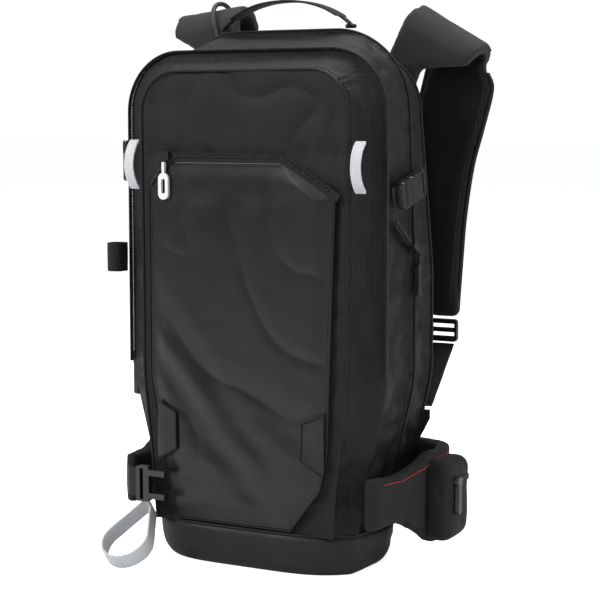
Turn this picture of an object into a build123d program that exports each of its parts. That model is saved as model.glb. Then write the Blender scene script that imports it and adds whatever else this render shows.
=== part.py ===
from build123d import *

import os
from math import atan2, cos, radians, sin

# Avalanche airbag backpack, standing on its base. Millimetres, +Z up, -Y is the front of the
# bag (away from the wearer), +X is the bag's own left-to-right as seen from the front.
# The origin is the middle of the base, on the ground.

# ---------------------------------------------------------------- driving dimensions
bag_half = 149.0  # widest half width, at the main zip
bag_top = 543.0  # height of the top seam that carries the haul loop
wall = 3.0  # padded fabric
skin = 1.5  # laminated fabric, zip tape and other thin layers
gap = 0.3  # clearance between pieces that move past each other
webbing = 1.6  # thickness of plain webbing

front_face = -80.0  # depth of the front panel
front_seam = -50.0  # depth of the main zip
top_seam = 15.0  # depth of the haul loop seam
rear_face = 66.0  # depth of the back wall
back_pad = 14.0  # thickness of the moulded back panel

base_height = 42.0  # top of the coated base
low_height = 110.0
waist_height = 190.0
chest_height = bag_top - 243.0
top_corner = 83.0  # height of the rounded shoulders of the bag
shoulder_height = bag_top - top_corner

# Front-view outline of the bag at four depths: half widths at the base, low, middle and
# shoulder heights, and the height of the top.
front_section = (front_face, bag_half - 51, bag_half - 45, bag_half - 37, bag_half - 37, bag_top - 46)
zip_section = (front_seam, bag_half - 31, bag_half - 21, bag_half, bag_half, bag_top - 22)
top_section = (top_seam, bag_half - 31, bag_half - 21, bag_half - 2, bag_half - 9, bag_top)
rear_section = (rear_face, bag_half - 37, bag_half - 27, bag_half - 7, bag_half - 21, bag_top - 23)
sections = (front_section, zip_section, top_section, rear_section)
section_heights = (base_height, low_height, waist_height, chest_height, shoulder_height)

os.makedirs("parts", exist_ok=True)


def write_piece(piece, label):
    piece.part.label = label
    export_step(piece.part, f"parts/{label}.step")


# ---------------------------------------------------------------- bag outline
def bag_outline(section, inset=0.0, depth=None, bottom=base_height):
    """Sketch the front-view outline of the bag at one depth."""
    own_depth, base, low, middle, shoulder, top = section
    place = own_depth if depth is None else depth
    corner = top - shoulder_height - inset
    side = (
        (base - inset, bottom),
        (low - inset, low_height),
        (middle - inset, waist_height),
        (middle - inset, chest_height),
        (shoulder - inset, shoulder_height),
    )
    arc_middle = shoulder - inset - corner
    with BuildSketch(Plane.XZ.offset(-place)) as outline:
        with BuildLine():
            Polyline(*side)
            CenterArc((arc_middle, shoulder_height), corner, 0, 90)
            Line((arc_middle, top - inset), (-arc_middle, top - inset))
            CenterArc((-arc_middle, shoulder_height), corner, 90, 90)
            Polyline(*((-x, z) for x, z in reversed(side)))
            Line((-side[0][0], bottom), side[0])
        make_face()
    return outline.sketch


def blend(value, low, high, low_result, high_result):
    return low_result + (high_result - low_result) * (value - low) / (high - low)


def section_half(section, height):
    """Half width of one outline at a height below the rounded shoulders."""
    halves = (section[1], section[2], section[3], section[3], section[4])
    for step in range(len(section_heights) - 1):
        if height <= section_heights[step + 1]:
            break
    return blend(height, section_heights[step], section_heights[step + 1], halves[step], halves[step + 1])


def side_half(depth, height):
    """Half width of the bag at any depth and height."""
    for step in range(len(sections) - 1):
        if depth <= sections[step + 1][0]:
            break
    near, far = sections[step], sections[step + 1]
    return blend(depth, near[0], far[0], section_half(near, height), section_half(far, height))


def side_plane(depth, height, tilt=0.0, reach=15.0):
    """Plane on the bag's +X side: local x to the rear, y up and z outwards, tilted in place."""
    slope_back = (side_half(depth + reach, height) - side_half(depth - reach, height)) / (2 * reach)
    slope_up = (side_half(depth, height + reach) - side_half(depth, height - reach)) / (2 * reach)
    outward = Vector(1, -slope_back, -slope_up).normalized()
    rearward = Vector(slope_back, 1, 0).normalized()
    upward = outward.cross(rearward)
    along = rearward * cos(radians(tilt)) + upward * sin(radians(tilt))
    return Plane(origin=(side_half(depth, height), depth, height), x_dir=along, z_dir=outward)


# ---------------------------------------------------------------- bag shells
with BuildPart() as front_shell:
    loft((bag_outline(front_section), bag_outline(zip_section)), ruled=True)
    hollow_front = bag_outline(front_section, wall, front_face + wall, base_height - wall)
    hollow_rear = bag_outline(zip_section, wall, None, base_height - wall)
    loft((hollow_front, hollow_rear), ruled=True, mode=Mode.SUBTRACT)
write_piece(front_shell, "front_shell")

with BuildPart() as main_shell:
    loft((bag_outline(zip_section), bag_outline(top_section)), ruled=True)
    hollow_front = bag_outline(zip_section, wall, None, base_height - wall)
    hollow_rear = bag_outline(top_section, wall, None, base_height - wall)
    loft((hollow_front, hollow_rear), ruled=True, mode=Mode.SUBTRACT)
write_piece(main_shell, "main_shell")

# The airbag bursts out through a flap in the top, between the haul loop and the back.
flap_half = 50.0
flap_start = top_seam + 12.0
flap_length = 34.0
top_slope = atan2(rear_section[5] - top_section[5], rear_face - top_seam)
flap_middle = flap_start + flap_length / 2 * cos(top_slope)
flap_height = blend(flap_middle, top_seam, rear_face, top_section[5], rear_section[5])
flap_plane = Plane(
    origin=(0, flap_middle, flap_height),
    x_dir=(1, 0, 0),
    z_dir=(0, -sin(top_slope), cos(top_slope)),
)
flap_lap = 4.0  # how far the flap laps over the edge of its opening

# The trigger cable enters the bag high on the back, on the side of the trigger.
cable_diameter = 5.0
cable_entry = Vector(-(bag_half - 45), rear_face, bag_top - 53)

with BuildPart() as rear_shell:
    loft((bag_outline(top_section), bag_outline(rear_section)), ruled=True)
    hollow_front = bag_outline(top_section, wall, None, base_height - wall)
    hollow_rear = bag_outline(rear_section, wall, rear_face - wall, base_height - wall)
    loft((hollow_front, hollow_rear), ruled=True, mode=Mode.SUBTRACT)
    with BuildSketch(flap_plane.offset(wall)):
        Rectangle(2 * (flap_half - flap_lap), flap_length - 2 * flap_lap)
    extrude(amount=-4 * wall, mode=Mode.SUBTRACT)
    with BuildSketch(Plane.XZ.offset(-rear_face - 1)):
        with Locations((cable_entry.X - 1, cable_entry.Z + 3)):
            Circle(cable_diameter + 1.5)
    extrude(amount=wall + 2, mode=Mode.SUBTRACT)
write_piece(rear_shell, "rear_shell")

with BuildPart() as airbag_flap:
    with BuildSketch(flap_plane.offset(gap)):
        RectangleRounded(2 * flap_half, flap_length, 5)
    extrude(amount=skin)
write_piece(airbag_flap, "airbag_flap")

divider_depth = front_seam + 2
with BuildPart() as pocket_divider:
    extrude(bag_outline(zip_section, wall + 1.5, divider_depth, base_height + gap), amount=-skin)
write_piece(pocket_divider, "pocket_divider")

# ---------------------------------------------------------------- base
base_tuck = 12.0  # how far the ground outline sits inside the top of the base
base_front = front_face + 18
base_rear = rear_face - 14


def base_outline(height, tuck, front, rear, inset=0.0):
    """Plan outline of the coated base; its top follows the four bag outlines."""
    depths = (front + inset, front_seam + 2 * tuck / 3, top_seam, rear - inset)
    halves = [section[1] - tuck - inset for section in sections]
    right = list(zip(halves, depths))
    with BuildSketch(Plane.XY.offset(height)) as outline:
        with BuildLine():
            Polyline(*right, *((-x, y) for x, y in reversed(right)), close=True)
        make_face()
    return outline.sketch


with BuildPart() as base_panel:
    ground_outline = base_outline(0, base_tuck, base_front, base_rear)
    loft((ground_outline, base_outline(base_height, 0, front_face, rear_face)), ruled=True)
    floor_outline = base_outline(wall, base_tuck, base_front, base_rear, wall)
    mouth_outline = base_outline(base_height, 0, front_face, rear_face, wall)
    loft((floor_outline, mouth_outline), ruled=True, mode=Mode.SUBTRACT)
write_piece(base_panel, "base_panel")

# ---------------------------------------------------------------- front panel and front zip
panel_half = front_section[3] - 5
panel_top = bag_top - 132.0
panel_bottom = base_height + 4
panel_corner = 28.0  # height of the angled upper corners
panel_points = (
    (-panel_half + 32, panel_bottom),
    (panel_half - 50, panel_bottom),
    (panel_half - 16, panel_bottom + 44),
    (panel_half - 8, low_height + 20),
    (panel_half, panel_top - panel_corner - 8),
    (panel_half - 48, panel_top - 6),
    (panel_half - 62, panel_top),
    (-panel_half + 32, panel_top),
    (-panel_half + 16, panel_top - 9),
    (-panel_half, panel_top - panel_corner),
    (-panel_half, waist_height),
)
with BuildPart() as front_panel:
    with BuildSketch(Plane.XZ.offset(-front_face)):
        with BuildLine():
            Polyline(*panel_points, close=True)
        make_face()
    extrude(amount=skin)
write_piece(front_panel, "front_panel")

zip_width = 8.0
with BuildPart() as front_zip:
    with BuildSketch(Plane.XZ.offset(-front_face)):
        with BuildLine():
            offset_line = zip_width / 2 + gap
            Polyline(
                (panel_points[4][0] + offset_line, panel_points[4][1] + offset_line / 2),
                (panel_points[5][0] + offset_line / 2, panel_points[5][1] + offset_line),
                (panel_points[6][0] + 1, panel_top + offset_line),
                (panel_points[7][0] - 1, panel_top + offset_line),
                (panel_points[8][0] - offset_line, panel_points[8][1] + offset_line / 2),
            )
        trace(line_width=zip_width)
        add(front_panel.faces().sort_by(Axis.Y)[-1], mode=Mode.SUBTRACT)
    extrude(amount=skin)
write_piece(front_zip, "front_zip")

patch_top = 166.0
patch_height = 60.0
patch_reach = 25.0
with BuildPart() as hex_patches:
    with BuildSketch(Plane.XZ.offset(-front_face + skin)):
        with BuildLine():
            patch_edge = panel_half - 10
            Polyline(
                (patch_edge, patch_top),
                (patch_edge - patch_reach, patch_top - 12),
                (patch_edge - patch_reach, patch_top - patch_height + 12),
                (patch_edge, patch_top - patch_height),
                close=True,
            )
        make_face()
        mirror(about=Plane.YZ)
    extrude(amount=1)
write_piece(hex_patches, "hex_patches")

# ---------------------------------------------------------------- back panel and frame
back_half = 105.0
back_bottom = 60.0
back_top = bag_top - 73
with BuildPart() as back_panel:
    with BuildSketch(Plane.XZ.offset(-rear_face)):
        with Locations((0, (back_bottom + back_top) / 2)):
            RectangleRounded(2 * back_half, back_top - back_bottom, 30)
    extrude(amount=-back_pad)
    with BuildSketch(Plane.XZ.offset(-rear_face - back_pad)):
        with Locations((0, (back_bottom + back_top) / 2)):
            Rectangle(30, back_top - back_bottom + 2)
    extrude(amount=6, mode=Mode.SUBTRACT)
write_piece(back_panel, "back_panel")

sheet_half = 98.0
sheet_thickness = 2.0
sheet_rear = rear_face - wall - 1
with BuildPart() as frame_sheet:
    with BuildSketch(Plane.XZ.offset(-sheet_rear)):
        with Locations((0, (back_bottom + back_top) / 2)):
            RectangleRounded(2 * sheet_half, back_top - back_bottom - 10, 25)
    extrude(amount=sheet_thickness)
write_piece(frame_sheet, "frame_sheet")

stay_thickness = 3.0
stay_front = sheet_rear - sheet_thickness
with BuildPart() as frame_stays:
    with BuildSketch(Plane.XZ.offset(-stay_front)):
        with Locations((-60, (back_bottom + back_top) / 2), (60, (back_bottom + back_top) / 2)):
            SlotOverall(back_top - back_bottom - 40, 12, rotation=90)
    extrude(amount=stay_thickness)
write_piece(frame_stays, "frame_stays")

sleeve_bottom = low_height
sleeve_top = shoulder_height - 70  # stays below the folded airbag
sleeve_middle = (sleeve_bottom + sleeve_top) / 2
with BuildPart() as hydration_sleeve:
    with BuildSketch(Plane.XZ.offset(-stay_front + stay_thickness + 1)):
        with Locations((25, sleeve_middle)):
            RectangleRounded(120, sleeve_top - sleeve_bottom, 20)
    extrude(amount=4)
write_piece(hydration_sleeve, "hydration_sleeve")

# ---------------------------------------------------------------- airbag system
bay_depth = 28.0  # depth of the cylinder's and inflator's middle
cylinder_radius = 25.0
cylinder_across = -82.0
cylinder_bottom = 96.0
cylinder_length = shoulder_height - 234.0  # leaves room above it for the folded airbag
neck_radius = 9.0
cylinder_top = cylinder_bottom + cylinder_length
disc_depth = 3.0  # the burst disc sits this far down inside the neck
pin_radius = 2.5
pin_travel = 5.0

with BuildPart() as gas_cylinder:
    with BuildSketch(Plane.XZ):
        with BuildLine():
            Polyline((0, cylinder_bottom), (cylinder_radius - 8, cylinder_bottom))
            RadiusArc(
                (cylinder_radius - 8, cylinder_bottom),
                (cylinder_radius, cylinder_bottom + 8),
                -8,
            )
            Polyline(
                (cylinder_radius, cylinder_bottom + 8),
                (cylinder_radius, cylinder_top - 46),
                (neck_radius, cylinder_top - 22),
                (neck_radius, cylinder_top),
                (pin_radius + 1, cylinder_top),
                (pin_radius + 1, cylinder_top - disc_depth),
                (0, cylinder_top - disc_depth),
                (0, cylinder_bottom),
            )
        make_face()
    revolve(axis=Axis.Z)
gas_cylinder.part = gas_cylinder.part.moved(Location((cylinder_across, bay_depth, 0)))
write_piece(gas_cylinder, "gas_cylinder")

body_bottom = cylinder_top - 18
body_top = cylinder_top + 30
body_left = cylinder_across - 24
body_right = cylinder_across + 20
lever_length = 14.0  # from the lever's pivot to the firing pin
lever_thickness = 5.6
pivot_radius = 1.5
pivot_clearance = 0.08
pivot_across = cylinder_across - lever_length
pivot_height = body_top + 11.2
venturi_across = cylinder_across + 37
venturi_radius = 14.0

with BuildPart() as inflator_body:
    with BuildSketch(Plane.XY.offset(body_bottom)):
        with Locations(((body_left + body_right) / 2, bay_depth)):
            RectangleRounded(body_right - body_left, 40, 6)
    extrude(amount=body_top - body_bottom)
    with BuildSketch(Plane.XY.offset(body_bottom + 8)):
        with Locations((venturi_across, bay_depth)):
            Circle(venturi_radius)
        with Locations((body_right + 6, bay_depth)):
            Rectangle(20, 16)
    extrude(amount=body_top - body_bottom - 8)
    with BuildSketch(Plane.XY.offset(body_bottom)):
        with Locations((cylinder_across, bay_depth)):
            Circle(neck_radius + 0.15)
    extrude(amount=cylinder_top - body_bottom + 1, mode=Mode.SUBTRACT)
    with BuildSketch(Plane.XY.offset(cylinder_top)):
        with Locations((cylinder_across, bay_depth)):
            Circle(pin_radius + pivot_clearance)
    extrude(amount=body_top - cylinder_top, mode=Mode.SUBTRACT)
    with BuildSketch(Plane.XY.offset(body_top)):
        with Locations((pivot_across, bay_depth - 7), (pivot_across, bay_depth + 7)):
            Rectangle(8, 6)
    extrude(amount=pivot_height - body_top + 4)
    with BuildSketch(Plane.XZ.offset(-bay_depth)):
        with Locations((pivot_across, pivot_height)):
            Circle(pivot_radius + pivot_clearance)
    extrude(amount=20, both=True, mode=Mode.SUBTRACT)
write_piece(inflator_body, "inflator_body")

lever_under = pivot_height - lever_thickness / 2
with BuildPart() as firing_lever:
    with BuildSketch(Plane.XZ.offset(-bay_depth)):
        with Locations((pivot_across + 2, pivot_height)):
            SlotOverall(lever_length + 10, lever_thickness)
    extrude(amount=3, both=True)
    with BuildSketch(Plane.XZ.offset(-bay_depth)):
        with Locations((pivot_across, pivot_height)):
            Circle(pivot_radius)
    extrude(amount=10, both=True)
write_piece(firing_lever, "firing_lever")

with BuildPart() as firing_pin:
    with BuildSketch(Plane.XY.offset(cylinder_top + 3.6)):
        with Locations((cylinder_across, bay_depth)):
            Circle(pin_radius)
    extrude(amount=lever_under - gap - cylinder_top - 3.6)
    with BuildSketch(Plane.XY.offset(lever_under - gap - 2)):
        with Locations((cylinder_across, bay_depth)):
            Circle(3.4)
    extrude(amount=2)
write_piece(firing_pin, "firing_pin")

airbag_half = 84.0
airbag_bottom = shoulder_height - 18
airbag_top = bag_top - 34
hose_radius = 13.0
with BuildPart() as inflator_hose:
    with BuildSketch(Plane.XY.offset(body_top)):
        with Locations((venturi_across, bay_depth)):
            Circle(hose_radius)
            Circle(hose_radius - 2, mode=Mode.SUBTRACT)
    extrude(amount=airbag_bottom - body_top)
write_piece(inflator_hose, "inflator_hose")

with BuildPart() as folded_airbag:
    with BuildSketch(Plane.XY.offset(airbag_bottom)):
        with Locations((0, 38)):
            RectangleRounded(2 * airbag_half, 36, 12)
    extrude(amount=airbag_top - airbag_bottom)
    fillet(folded_airbag.faces().sort_by(Axis.Z)[-1].edges(), 10)
write_piece(folded_airbag, "folded_airbag")

# ---------------------------------------------------------------- haul loop
loop_span = 76.0  # half distance between the feet
loop_rise = 27.0
loop_width = 20.0
loop_webbing = 2.5
foot_radius = 2.2
loop_pivot = bag_top + foot_radius + 0.8
neck_half = 4.0
with BuildPart() as haul_loop:
    with BuildSketch(Plane.XZ.offset(-top_seam)):
        with BuildLine():
            Spline(
                (-loop_span, loop_pivot),
                (-loop_span / 2, loop_pivot + 0.8 * loop_rise),
                (0, loop_pivot + loop_rise),
                (loop_span / 2, loop_pivot + 0.8 * loop_rise),
                (loop_span, loop_pivot),
            )
        trace(line_width=loop_webbing)
    extrude(amount=loop_width / 2, both=True)
    for side in (-1, 1):
        with BuildSketch(Plane.XY.offset(loop_pivot - 3)):
            with Locations((0, top_seam + side * (neck_half + loop_width / 2))):
                Rectangle(3 * loop_span, loop_width)
        extrude(amount=13, mode=Mode.SUBTRACT)
    with BuildSketch(Plane.XZ.offset(-top_seam)):
        with Locations((0, loop_pivot - 10)):
            Rectangle(3 * loop_span, 20)
    extrude(amount=loop_width, both=True, mode=Mode.SUBTRACT)
    with BuildSketch(Plane.YZ.offset(-loop_span - 4)):
        with Locations((top_seam, loop_pivot)):
            Circle(foot_radius)
    extrude(amount=12)
    with BuildSketch(Plane.YZ.offset(loop_span - 8)):
        with Locations((top_seam, loop_pivot)):
            Circle(foot_radius)
    extrude(amount=12)
write_piece(haul_loop, "haul_loop")

# ---------------------------------------------------------------- ski loops
tape_width = 12.0
upper_loop_height = bag_top - 136.0
upper_loop_half = 26.0
upper_loop_stand = 13.0
upper_loop_plane = Plane(
    origin=((zip_section[3] + front_section[3]) / 2, (front_seam + front_face) / 2 - 6, upper_loop_height),
    x_dir=(0, -1, 0),
    z_dir=(-1, 0, 0),
)
with BuildPart() as upper_ski_loops:
    with BuildSketch(upper_loop_plane):
        with BuildLine():
            tape_outer = ThreePointArc(
                (gap, -upper_loop_half), (upper_loop_stand, 0), (gap, upper_loop_half)
            )
            Line(tape_outer @ 1, (gap, upper_loop_half - 4))
            ThreePointArc(
                (gap, upper_loop_half - 4), (upper_loop_stand - 2, 0), (gap, 4 - upper_loop_half)
            )
            Line((gap, 4 - upper_loop_half), tape_outer @ 0)
        make_face()
    extrude(amount=tape_width / 2, both=True)
    mirror(about=Plane.YZ)
write_piece(upper_ski_loops, "upper_ski_loops")

lower_loop_pivot = Vector(-bag_half + 39, front_face - 6, 49)
lower_loop_slope = radians(36.5)
lower_loop_radius = 26.0
lower_loop_reach = 44.0  # from the pivot to the middle of the round end
lower_loop_tape = 18.0
lower_loop_neck = 8.0
lower_loop_thickness = 2.5
lower_loop_plane = Plane(
    origin=lower_loop_pivot,
    x_dir=(1, 0, 0),
    z_dir=(0, sin(lower_loop_slope), -cos(lower_loop_slope)),
)


def teardrop(inset):
    """Teardrop outline of the lower ski loop, its small end at the pivot."""
    with BuildSketch(lower_loop_plane) as drop:
        Circle(lower_loop_neck - inset)
        with Locations((0, lower_loop_reach)):
            Circle(lower_loop_radius - inset)
        make_hull()
    return drop.sketch


with BuildPart() as lower_ski_loop:
    extrude(teardrop(0), amount=lower_loop_tape / 2, both=True)
    extrude(
        teardrop(lower_loop_thickness), amount=lower_loop_tape / 2 + 1, both=True, mode=Mode.SUBTRACT
    )
write_piece(lower_ski_loop, "lower_ski_loop")

# Elastic loop on the other front corner, open at the top, for an axe shaft.
tool_loop_height = bag_top - 248.0
tool_loop_tall = 30.0
tool_loop_radius = 9.0
with BuildPart() as tool_loop:
    with BuildSketch(Plane.XY.offset(tool_loop_height)):
        with Locations((-bag_half - tool_loop_radius - 2.5, front_seam - 12)):
            SlotOverall(2 * tool_loop_radius + 6, 2 * tool_loop_radius, rotation=90)
            offset(amount=-2, mode=Mode.SUBTRACT)
    extrude(amount=tool_loop_tall)
write_piece(tool_loop, "tool_loop")

# ---------------------------------------------------------------- side compression straps
strap_height = bag_top - 159.0
strap_tilt = 12.0
strap_middle = -8.0
side_strap_half = 10.0
buckle_lift = 2 * gap + webbing + 0.4
side_strap_plane = side_plane(strap_middle, strap_height, strap_tilt).offset(1)
prong_length = 15.0
prong_clearance = 0.4


def strap_run(start, end):
    """Straight run of side webbing along the local x of the strap plane."""
    with BuildSketch(side_strap_plane) as run:
        with Locations(((start + end) / 2, 0)):
            Rectangle(end - start, 2 * side_strap_half)
    return run.sketch


# On each side one run is sewn in front of the buckle and one behind it.
with BuildPart() as side_straps:
    extrude(strap_run(-37, -22), amount=webbing)
    extrude(strap_run(-2, 58), amount=webbing)
    mirror(about=Plane.YZ)
write_piece(side_straps, "side_straps")

with BuildPart() as side_buckle_male:
    with BuildSketch(side_strap_plane.offset(buckle_lift)):
        with Locations((-18, 0)):
            RectangleRounded(22, 27, 3)
        with Locations((-22, 0)):
            Rectangle(3, 21, mode=Mode.SUBTRACT)
    extrude(amount=8)
    with BuildSketch(side_strap_plane.offset(buckle_lift + 2.5)):
        with Locations((-8 + prong_length / 2, 8), (-8 + prong_length / 2, -8)):
            Rectangle(prong_length + 2, 4)
    extrude(amount=3)
    mirror(about=Plane.YZ)
write_piece(side_buckle_male, "side_buckle_male")

with BuildPart() as side_buckle_female_right:
    with BuildSketch(side_strap_plane.offset(buckle_lift)):
        with Locations((12, 0)):
            RectangleRounded(36, 27, 3)
        with Locations((24, 0)):
            Rectangle(3, 21, mode=Mode.SUBTRACT)
    extrude(amount=8)
    with BuildSketch(side_strap_plane.offset(buckle_lift + 2.5 - prong_clearance)):
        with Locations((-6 + prong_length / 2, 0)):
            Rectangle(prong_length + 3, 20 + 2 * prong_clearance)
    extrude(amount=3 + 2 * prong_clearance, mode=Mode.SUBTRACT)
write_piece(side_buckle_female_right, "side_buckle_female_right")

with BuildPart() as side_buckle_female_left:
    mirror(side_buckle_female_right.part, about=Plane.YZ)
write_piece(side_buckle_female_left, "side_buckle_female_left")

# ---------------------------------------------------------------- zips on the bag
main_zip_bottom = 200.0
main_zip_width = 5.0
with BuildPart() as main_zip:
    extrude(bag_outline(zip_section, -skin, front_seam - gap), amount=main_zip_width)
    extrude(
        bag_outline(zip_section, -gap, front_seam, base_height - 1),
        amount=main_zip_width + 1,
        mode=Mode.SUBTRACT,
    )
    with BuildSketch(Plane.XY.offset(base_height - 2)):
        Rectangle(4 * bag_half, 4 * bag_half)
    extrude(amount=main_zip_bottom - base_height + 2, mode=Mode.SUBTRACT)
write_piece(main_zip, "main_zip")

slider_length = 14.0
slider_width = 9.0
slider_thickness = 5.0
main_slider_height = bag_top - 119.0
with BuildPart() as main_zip_slider:
    with BuildSketch(Plane.YZ.offset(-bag_half - skin - gap)):
        with Locations((front_seam - main_zip_width / 2 - gap - 1, main_slider_height)):
            RectangleRounded(slider_width - 2, slider_length, 2)
        with Locations((front_seam - main_zip_width / 2 - gap - 1, main_slider_height - 20)):
            SlotOverall(30, 6, rotation=90)
    extrude(amount=-slider_thickness)
write_piece(main_zip_slider, "main_zip_slider")

front_slider_across = -panel_half + 20
front_slider_height = panel_top + 5
with BuildPart() as front_zip_slider:
    with BuildSketch(Plane.XZ.offset(-front_face + skin + gap)):
        with Locations((front_slider_across, front_slider_height)):
            RectangleRounded(slider_length, slider_width, 2)
    extrude(amount=slider_thickness)
write_piece(front_zip_slider, "front_zip_slider")

# The moulded pull hangs from the slider on a short cord.
pull_hinge_depth = front_face - skin - gap - slider_thickness / 2
pull_hinge_height = front_slider_height - slider_width / 2 - 2.5
pull_length = 27.0
with BuildPart() as front_zip_pull:
    with BuildSketch(Plane.XZ.offset(-pull_hinge_depth)):
        with Locations((front_slider_across, pull_hinge_height - 6)):
            Rectangle(3, 14)
        with Locations((front_slider_across, pull_hinge_height - 10 - pull_length / 2)):
            SlotOverall(pull_length, 12, rotation=90)
        with Locations((front_slider_across, pull_hinge_height - 10 - pull_length / 2)):
            SlotOverall(pull_length - 12, 4.5, rotation=90, mode=Mode.SUBTRACT)
    extrude(amount=1.8, both=True)
write_piece(front_zip_pull, "front_zip_pull")

# Side pocket zip: a slanted run on the +X side that ends in its slider.
side_zip_tilt = -33.0
side_zip_middle = -11.0
side_zip_height = bag_top - 205.0
side_zip_half = 27.0
side_zip_plane = side_plane(side_zip_middle, side_zip_height, side_zip_tilt).offset(gap + 0.4)
with BuildPart() as side_zip:
    with BuildSketch(side_zip_plane):
        Rectangle(2 * side_zip_half, zip_width)
    extrude(amount=skin)
write_piece(side_zip, "side_zip")

with BuildPart() as side_zip_slider:
    with BuildSketch(side_zip_plane.offset(skin + gap)):
        with Locations((side_zip_half - 7, 0)):
            RectangleRounded(slider_length, slider_width, 2)
    extrude(amount=slider_thickness)
write_piece(side_zip_slider, "side_zip_slider")

side_pull_top = side_zip_plane.from_local_coords((side_zip_half + 4, 0, skin + gap + slider_thickness / 2))
side_pull_length = 44.0
with BuildPart() as side_zip_pull:
    with BuildSketch(Plane.YZ.offset(side_pull_top.X)):
        with Locations((side_pull_top.Y, side_pull_top.Z - 9)):
            Rectangle(3, 20)
        with Locations((side_pull_top.Y, side_pull_top.Z - side_pull_length + 16)):
            SlotOverall(32, 8, rotation=90)
    extrude(amount=2, both=True)
write_piece(side_zip_pull, "side_zip_pull")

left_zip_depth = -38.0
left_zip_bottom = waist_height + 4
left_zip_top = chest_height - 4
left_zip_face = -side_half(left_zip_depth, left_zip_bottom) - gap
with BuildPart() as left_zip:
    with BuildSketch(Plane.YZ.offset(left_zip_face)):
        with Locations((left_zip_depth, (left_zip_bottom + left_zip_top) / 2)):
            Rectangle(zip_width, left_zip_top - left_zip_bottom)
    extrude(amount=-skin)
write_piece(left_zip, "left_zip")

with BuildPart() as left_zip_slider:
    with BuildSketch(Plane.YZ.offset(left_zip_face - skin - gap)):
        with Locations((left_zip_depth, left_zip_bottom + 8)):
            RectangleRounded(slider_width, slider_length, 2)
        with Locations((left_zip_depth, left_zip_bottom - 14)):
            SlotOverall(36, 7, rotation=90)
    extrude(amount=-slider_thickness)
write_piece(left_zip_slider, "left_zip_slider")

# ---------------------------------------------------------------- shoulder straps
strap_thickness = 12.0
fold_radius = 26.0  # outside radius of the strap where it folds over
strap_front = rear_face + back_pad + gap  # front face of the run that leaves the bag
fold_depth = strap_front + fold_radius
strap_rear = fold_depth + fold_radius  # outer face of the hanging run
hanging_front = strap_rear - strap_thickness
strap_end_height = bag_top - 300.0
lock_across = 128.0

# Front-view outlines of each strap, drawn for the +X side: the run sewn to the back panel,
# up to the fold line, and the run that hangs behind it.
sewn_points = (
    (45, bag_top - 83),
    (95, bag_top - 103),
    (119, bag_top - 41),
)
fold_lines = {
    "right": ((98, bag_top + 9), (174, bag_top - 35)),
    "left": ((100, bag_top + 11), (185, bag_top + 1)),
}
hanging_points = (
    (183, bag_top - 58),
    (171, bag_top - 100),
    (160, bag_top - 140),
    (152, bag_top - 193),
    (148, strap_end_height + 57),
    (146, strap_end_height + 8),
    (142, strap_end_height),
    (112, strap_end_height),
    (96, strap_end_height + 47),
    (84, bag_top - 190),
    (86, bag_top - 125),
    (98, bag_top - 70),
    (110, bag_top - 25),
)


def front_view(points, depth):
    """Closed straight-sided outline standing at one depth."""
    with BuildSketch(Plane.XZ.offset(-depth)) as outline:
        with BuildLine():
            Polyline(*points, close=True)
        make_face()
    return outline.sketch


def shoulder_strap(fold_line):
    """One padded strap: sewn run, fold and hanging run."""
    inner, outer = (Vector(x, 0, z) for x, z in fold_line)
    along = (outer - inner).normalized()
    above = Vector(-along.Z, 0, along.X)
    fold_plane = Plane(origin=(inner.X, fold_depth, inner.Z), x_dir=(0, 1, 0), z_dir=along)
    side_up = 1 if fold_plane.y_dir.dot(above) > 0 else -1
    with BuildPart() as strap:
        extrude(
            front_view((*sewn_points, fold_line[1], fold_line[0]), strap_front), amount=-strap_thickness
        )
        hanging_outline = (fold_line[0], fold_line[1], *hanging_points)
        extrude(front_view(hanging_outline, hanging_front), amount=-strap_thickness)
        with BuildSketch(fold_plane):
            Circle(fold_radius)
            Circle(fold_radius - strap_thickness, mode=Mode.SUBTRACT)
            with Locations((0, -side_up * fold_radius)):
                Rectangle(4 * fold_radius, 2 * fold_radius, mode=Mode.SUBTRACT)
        extrude(amount=(outer - inner).length)
    return strap.part


with BuildPart() as shoulder_strap_right:
    add(shoulder_strap(fold_lines["right"]))
write_piece(shoulder_strap_right, "shoulder_strap_right")

with BuildPart() as shoulder_strap_left:
    mirror(shoulder_strap(fold_lines["left"]), about=Plane.YZ)
write_piece(shoulder_strap_left, "shoulder_strap_left")

lock_width = 32.0
lock_height = 24.0
lock_thickness = 5.0
lock_depth = (hanging_front + strap_rear) / 2
lock_top = strap_end_height - 1
belt_webbing_half = 12.5
with BuildPart() as ladder_lock_right:
    with BuildSketch(Plane.XZ.offset(-lock_depth)):
        with Locations((lock_across, lock_top - lock_height / 2)):
            RectangleRounded(lock_width, lock_height, 4)
        with Locations((lock_across, lock_top - 7), (lock_across, lock_top - 16)):
            Rectangle(2 * belt_webbing_half + 1, 4.4, mode=Mode.SUBTRACT)
    extrude(amount=lock_thickness / 2, both=True)
write_piece(ladder_lock_right, "ladder_lock_right")

with BuildPart() as ladder_lock_left:
    mirror(ladder_lock_right.part, about=Plane.YZ)
write_piece(ladder_lock_left, "ladder_lock_left")

anchor_height = strap_end_height - 93.0
anchor_depth = rear_face + 3
lower_webbing_top = lock_top - lock_height - 2
with BuildPart() as strap_webbing:
    with BuildSketch(Plane.YZ.offset(lock_across - belt_webbing_half)):
        with BuildLine():
            Line((lock_depth, lower_webbing_top), (anchor_depth + 2, anchor_height + 6))
        trace(line_width=webbing)
    extrude(amount=2 * belt_webbing_half)
    mirror(about=Plane.YZ)
write_piece(strap_webbing, "strap_webbing")

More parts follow.
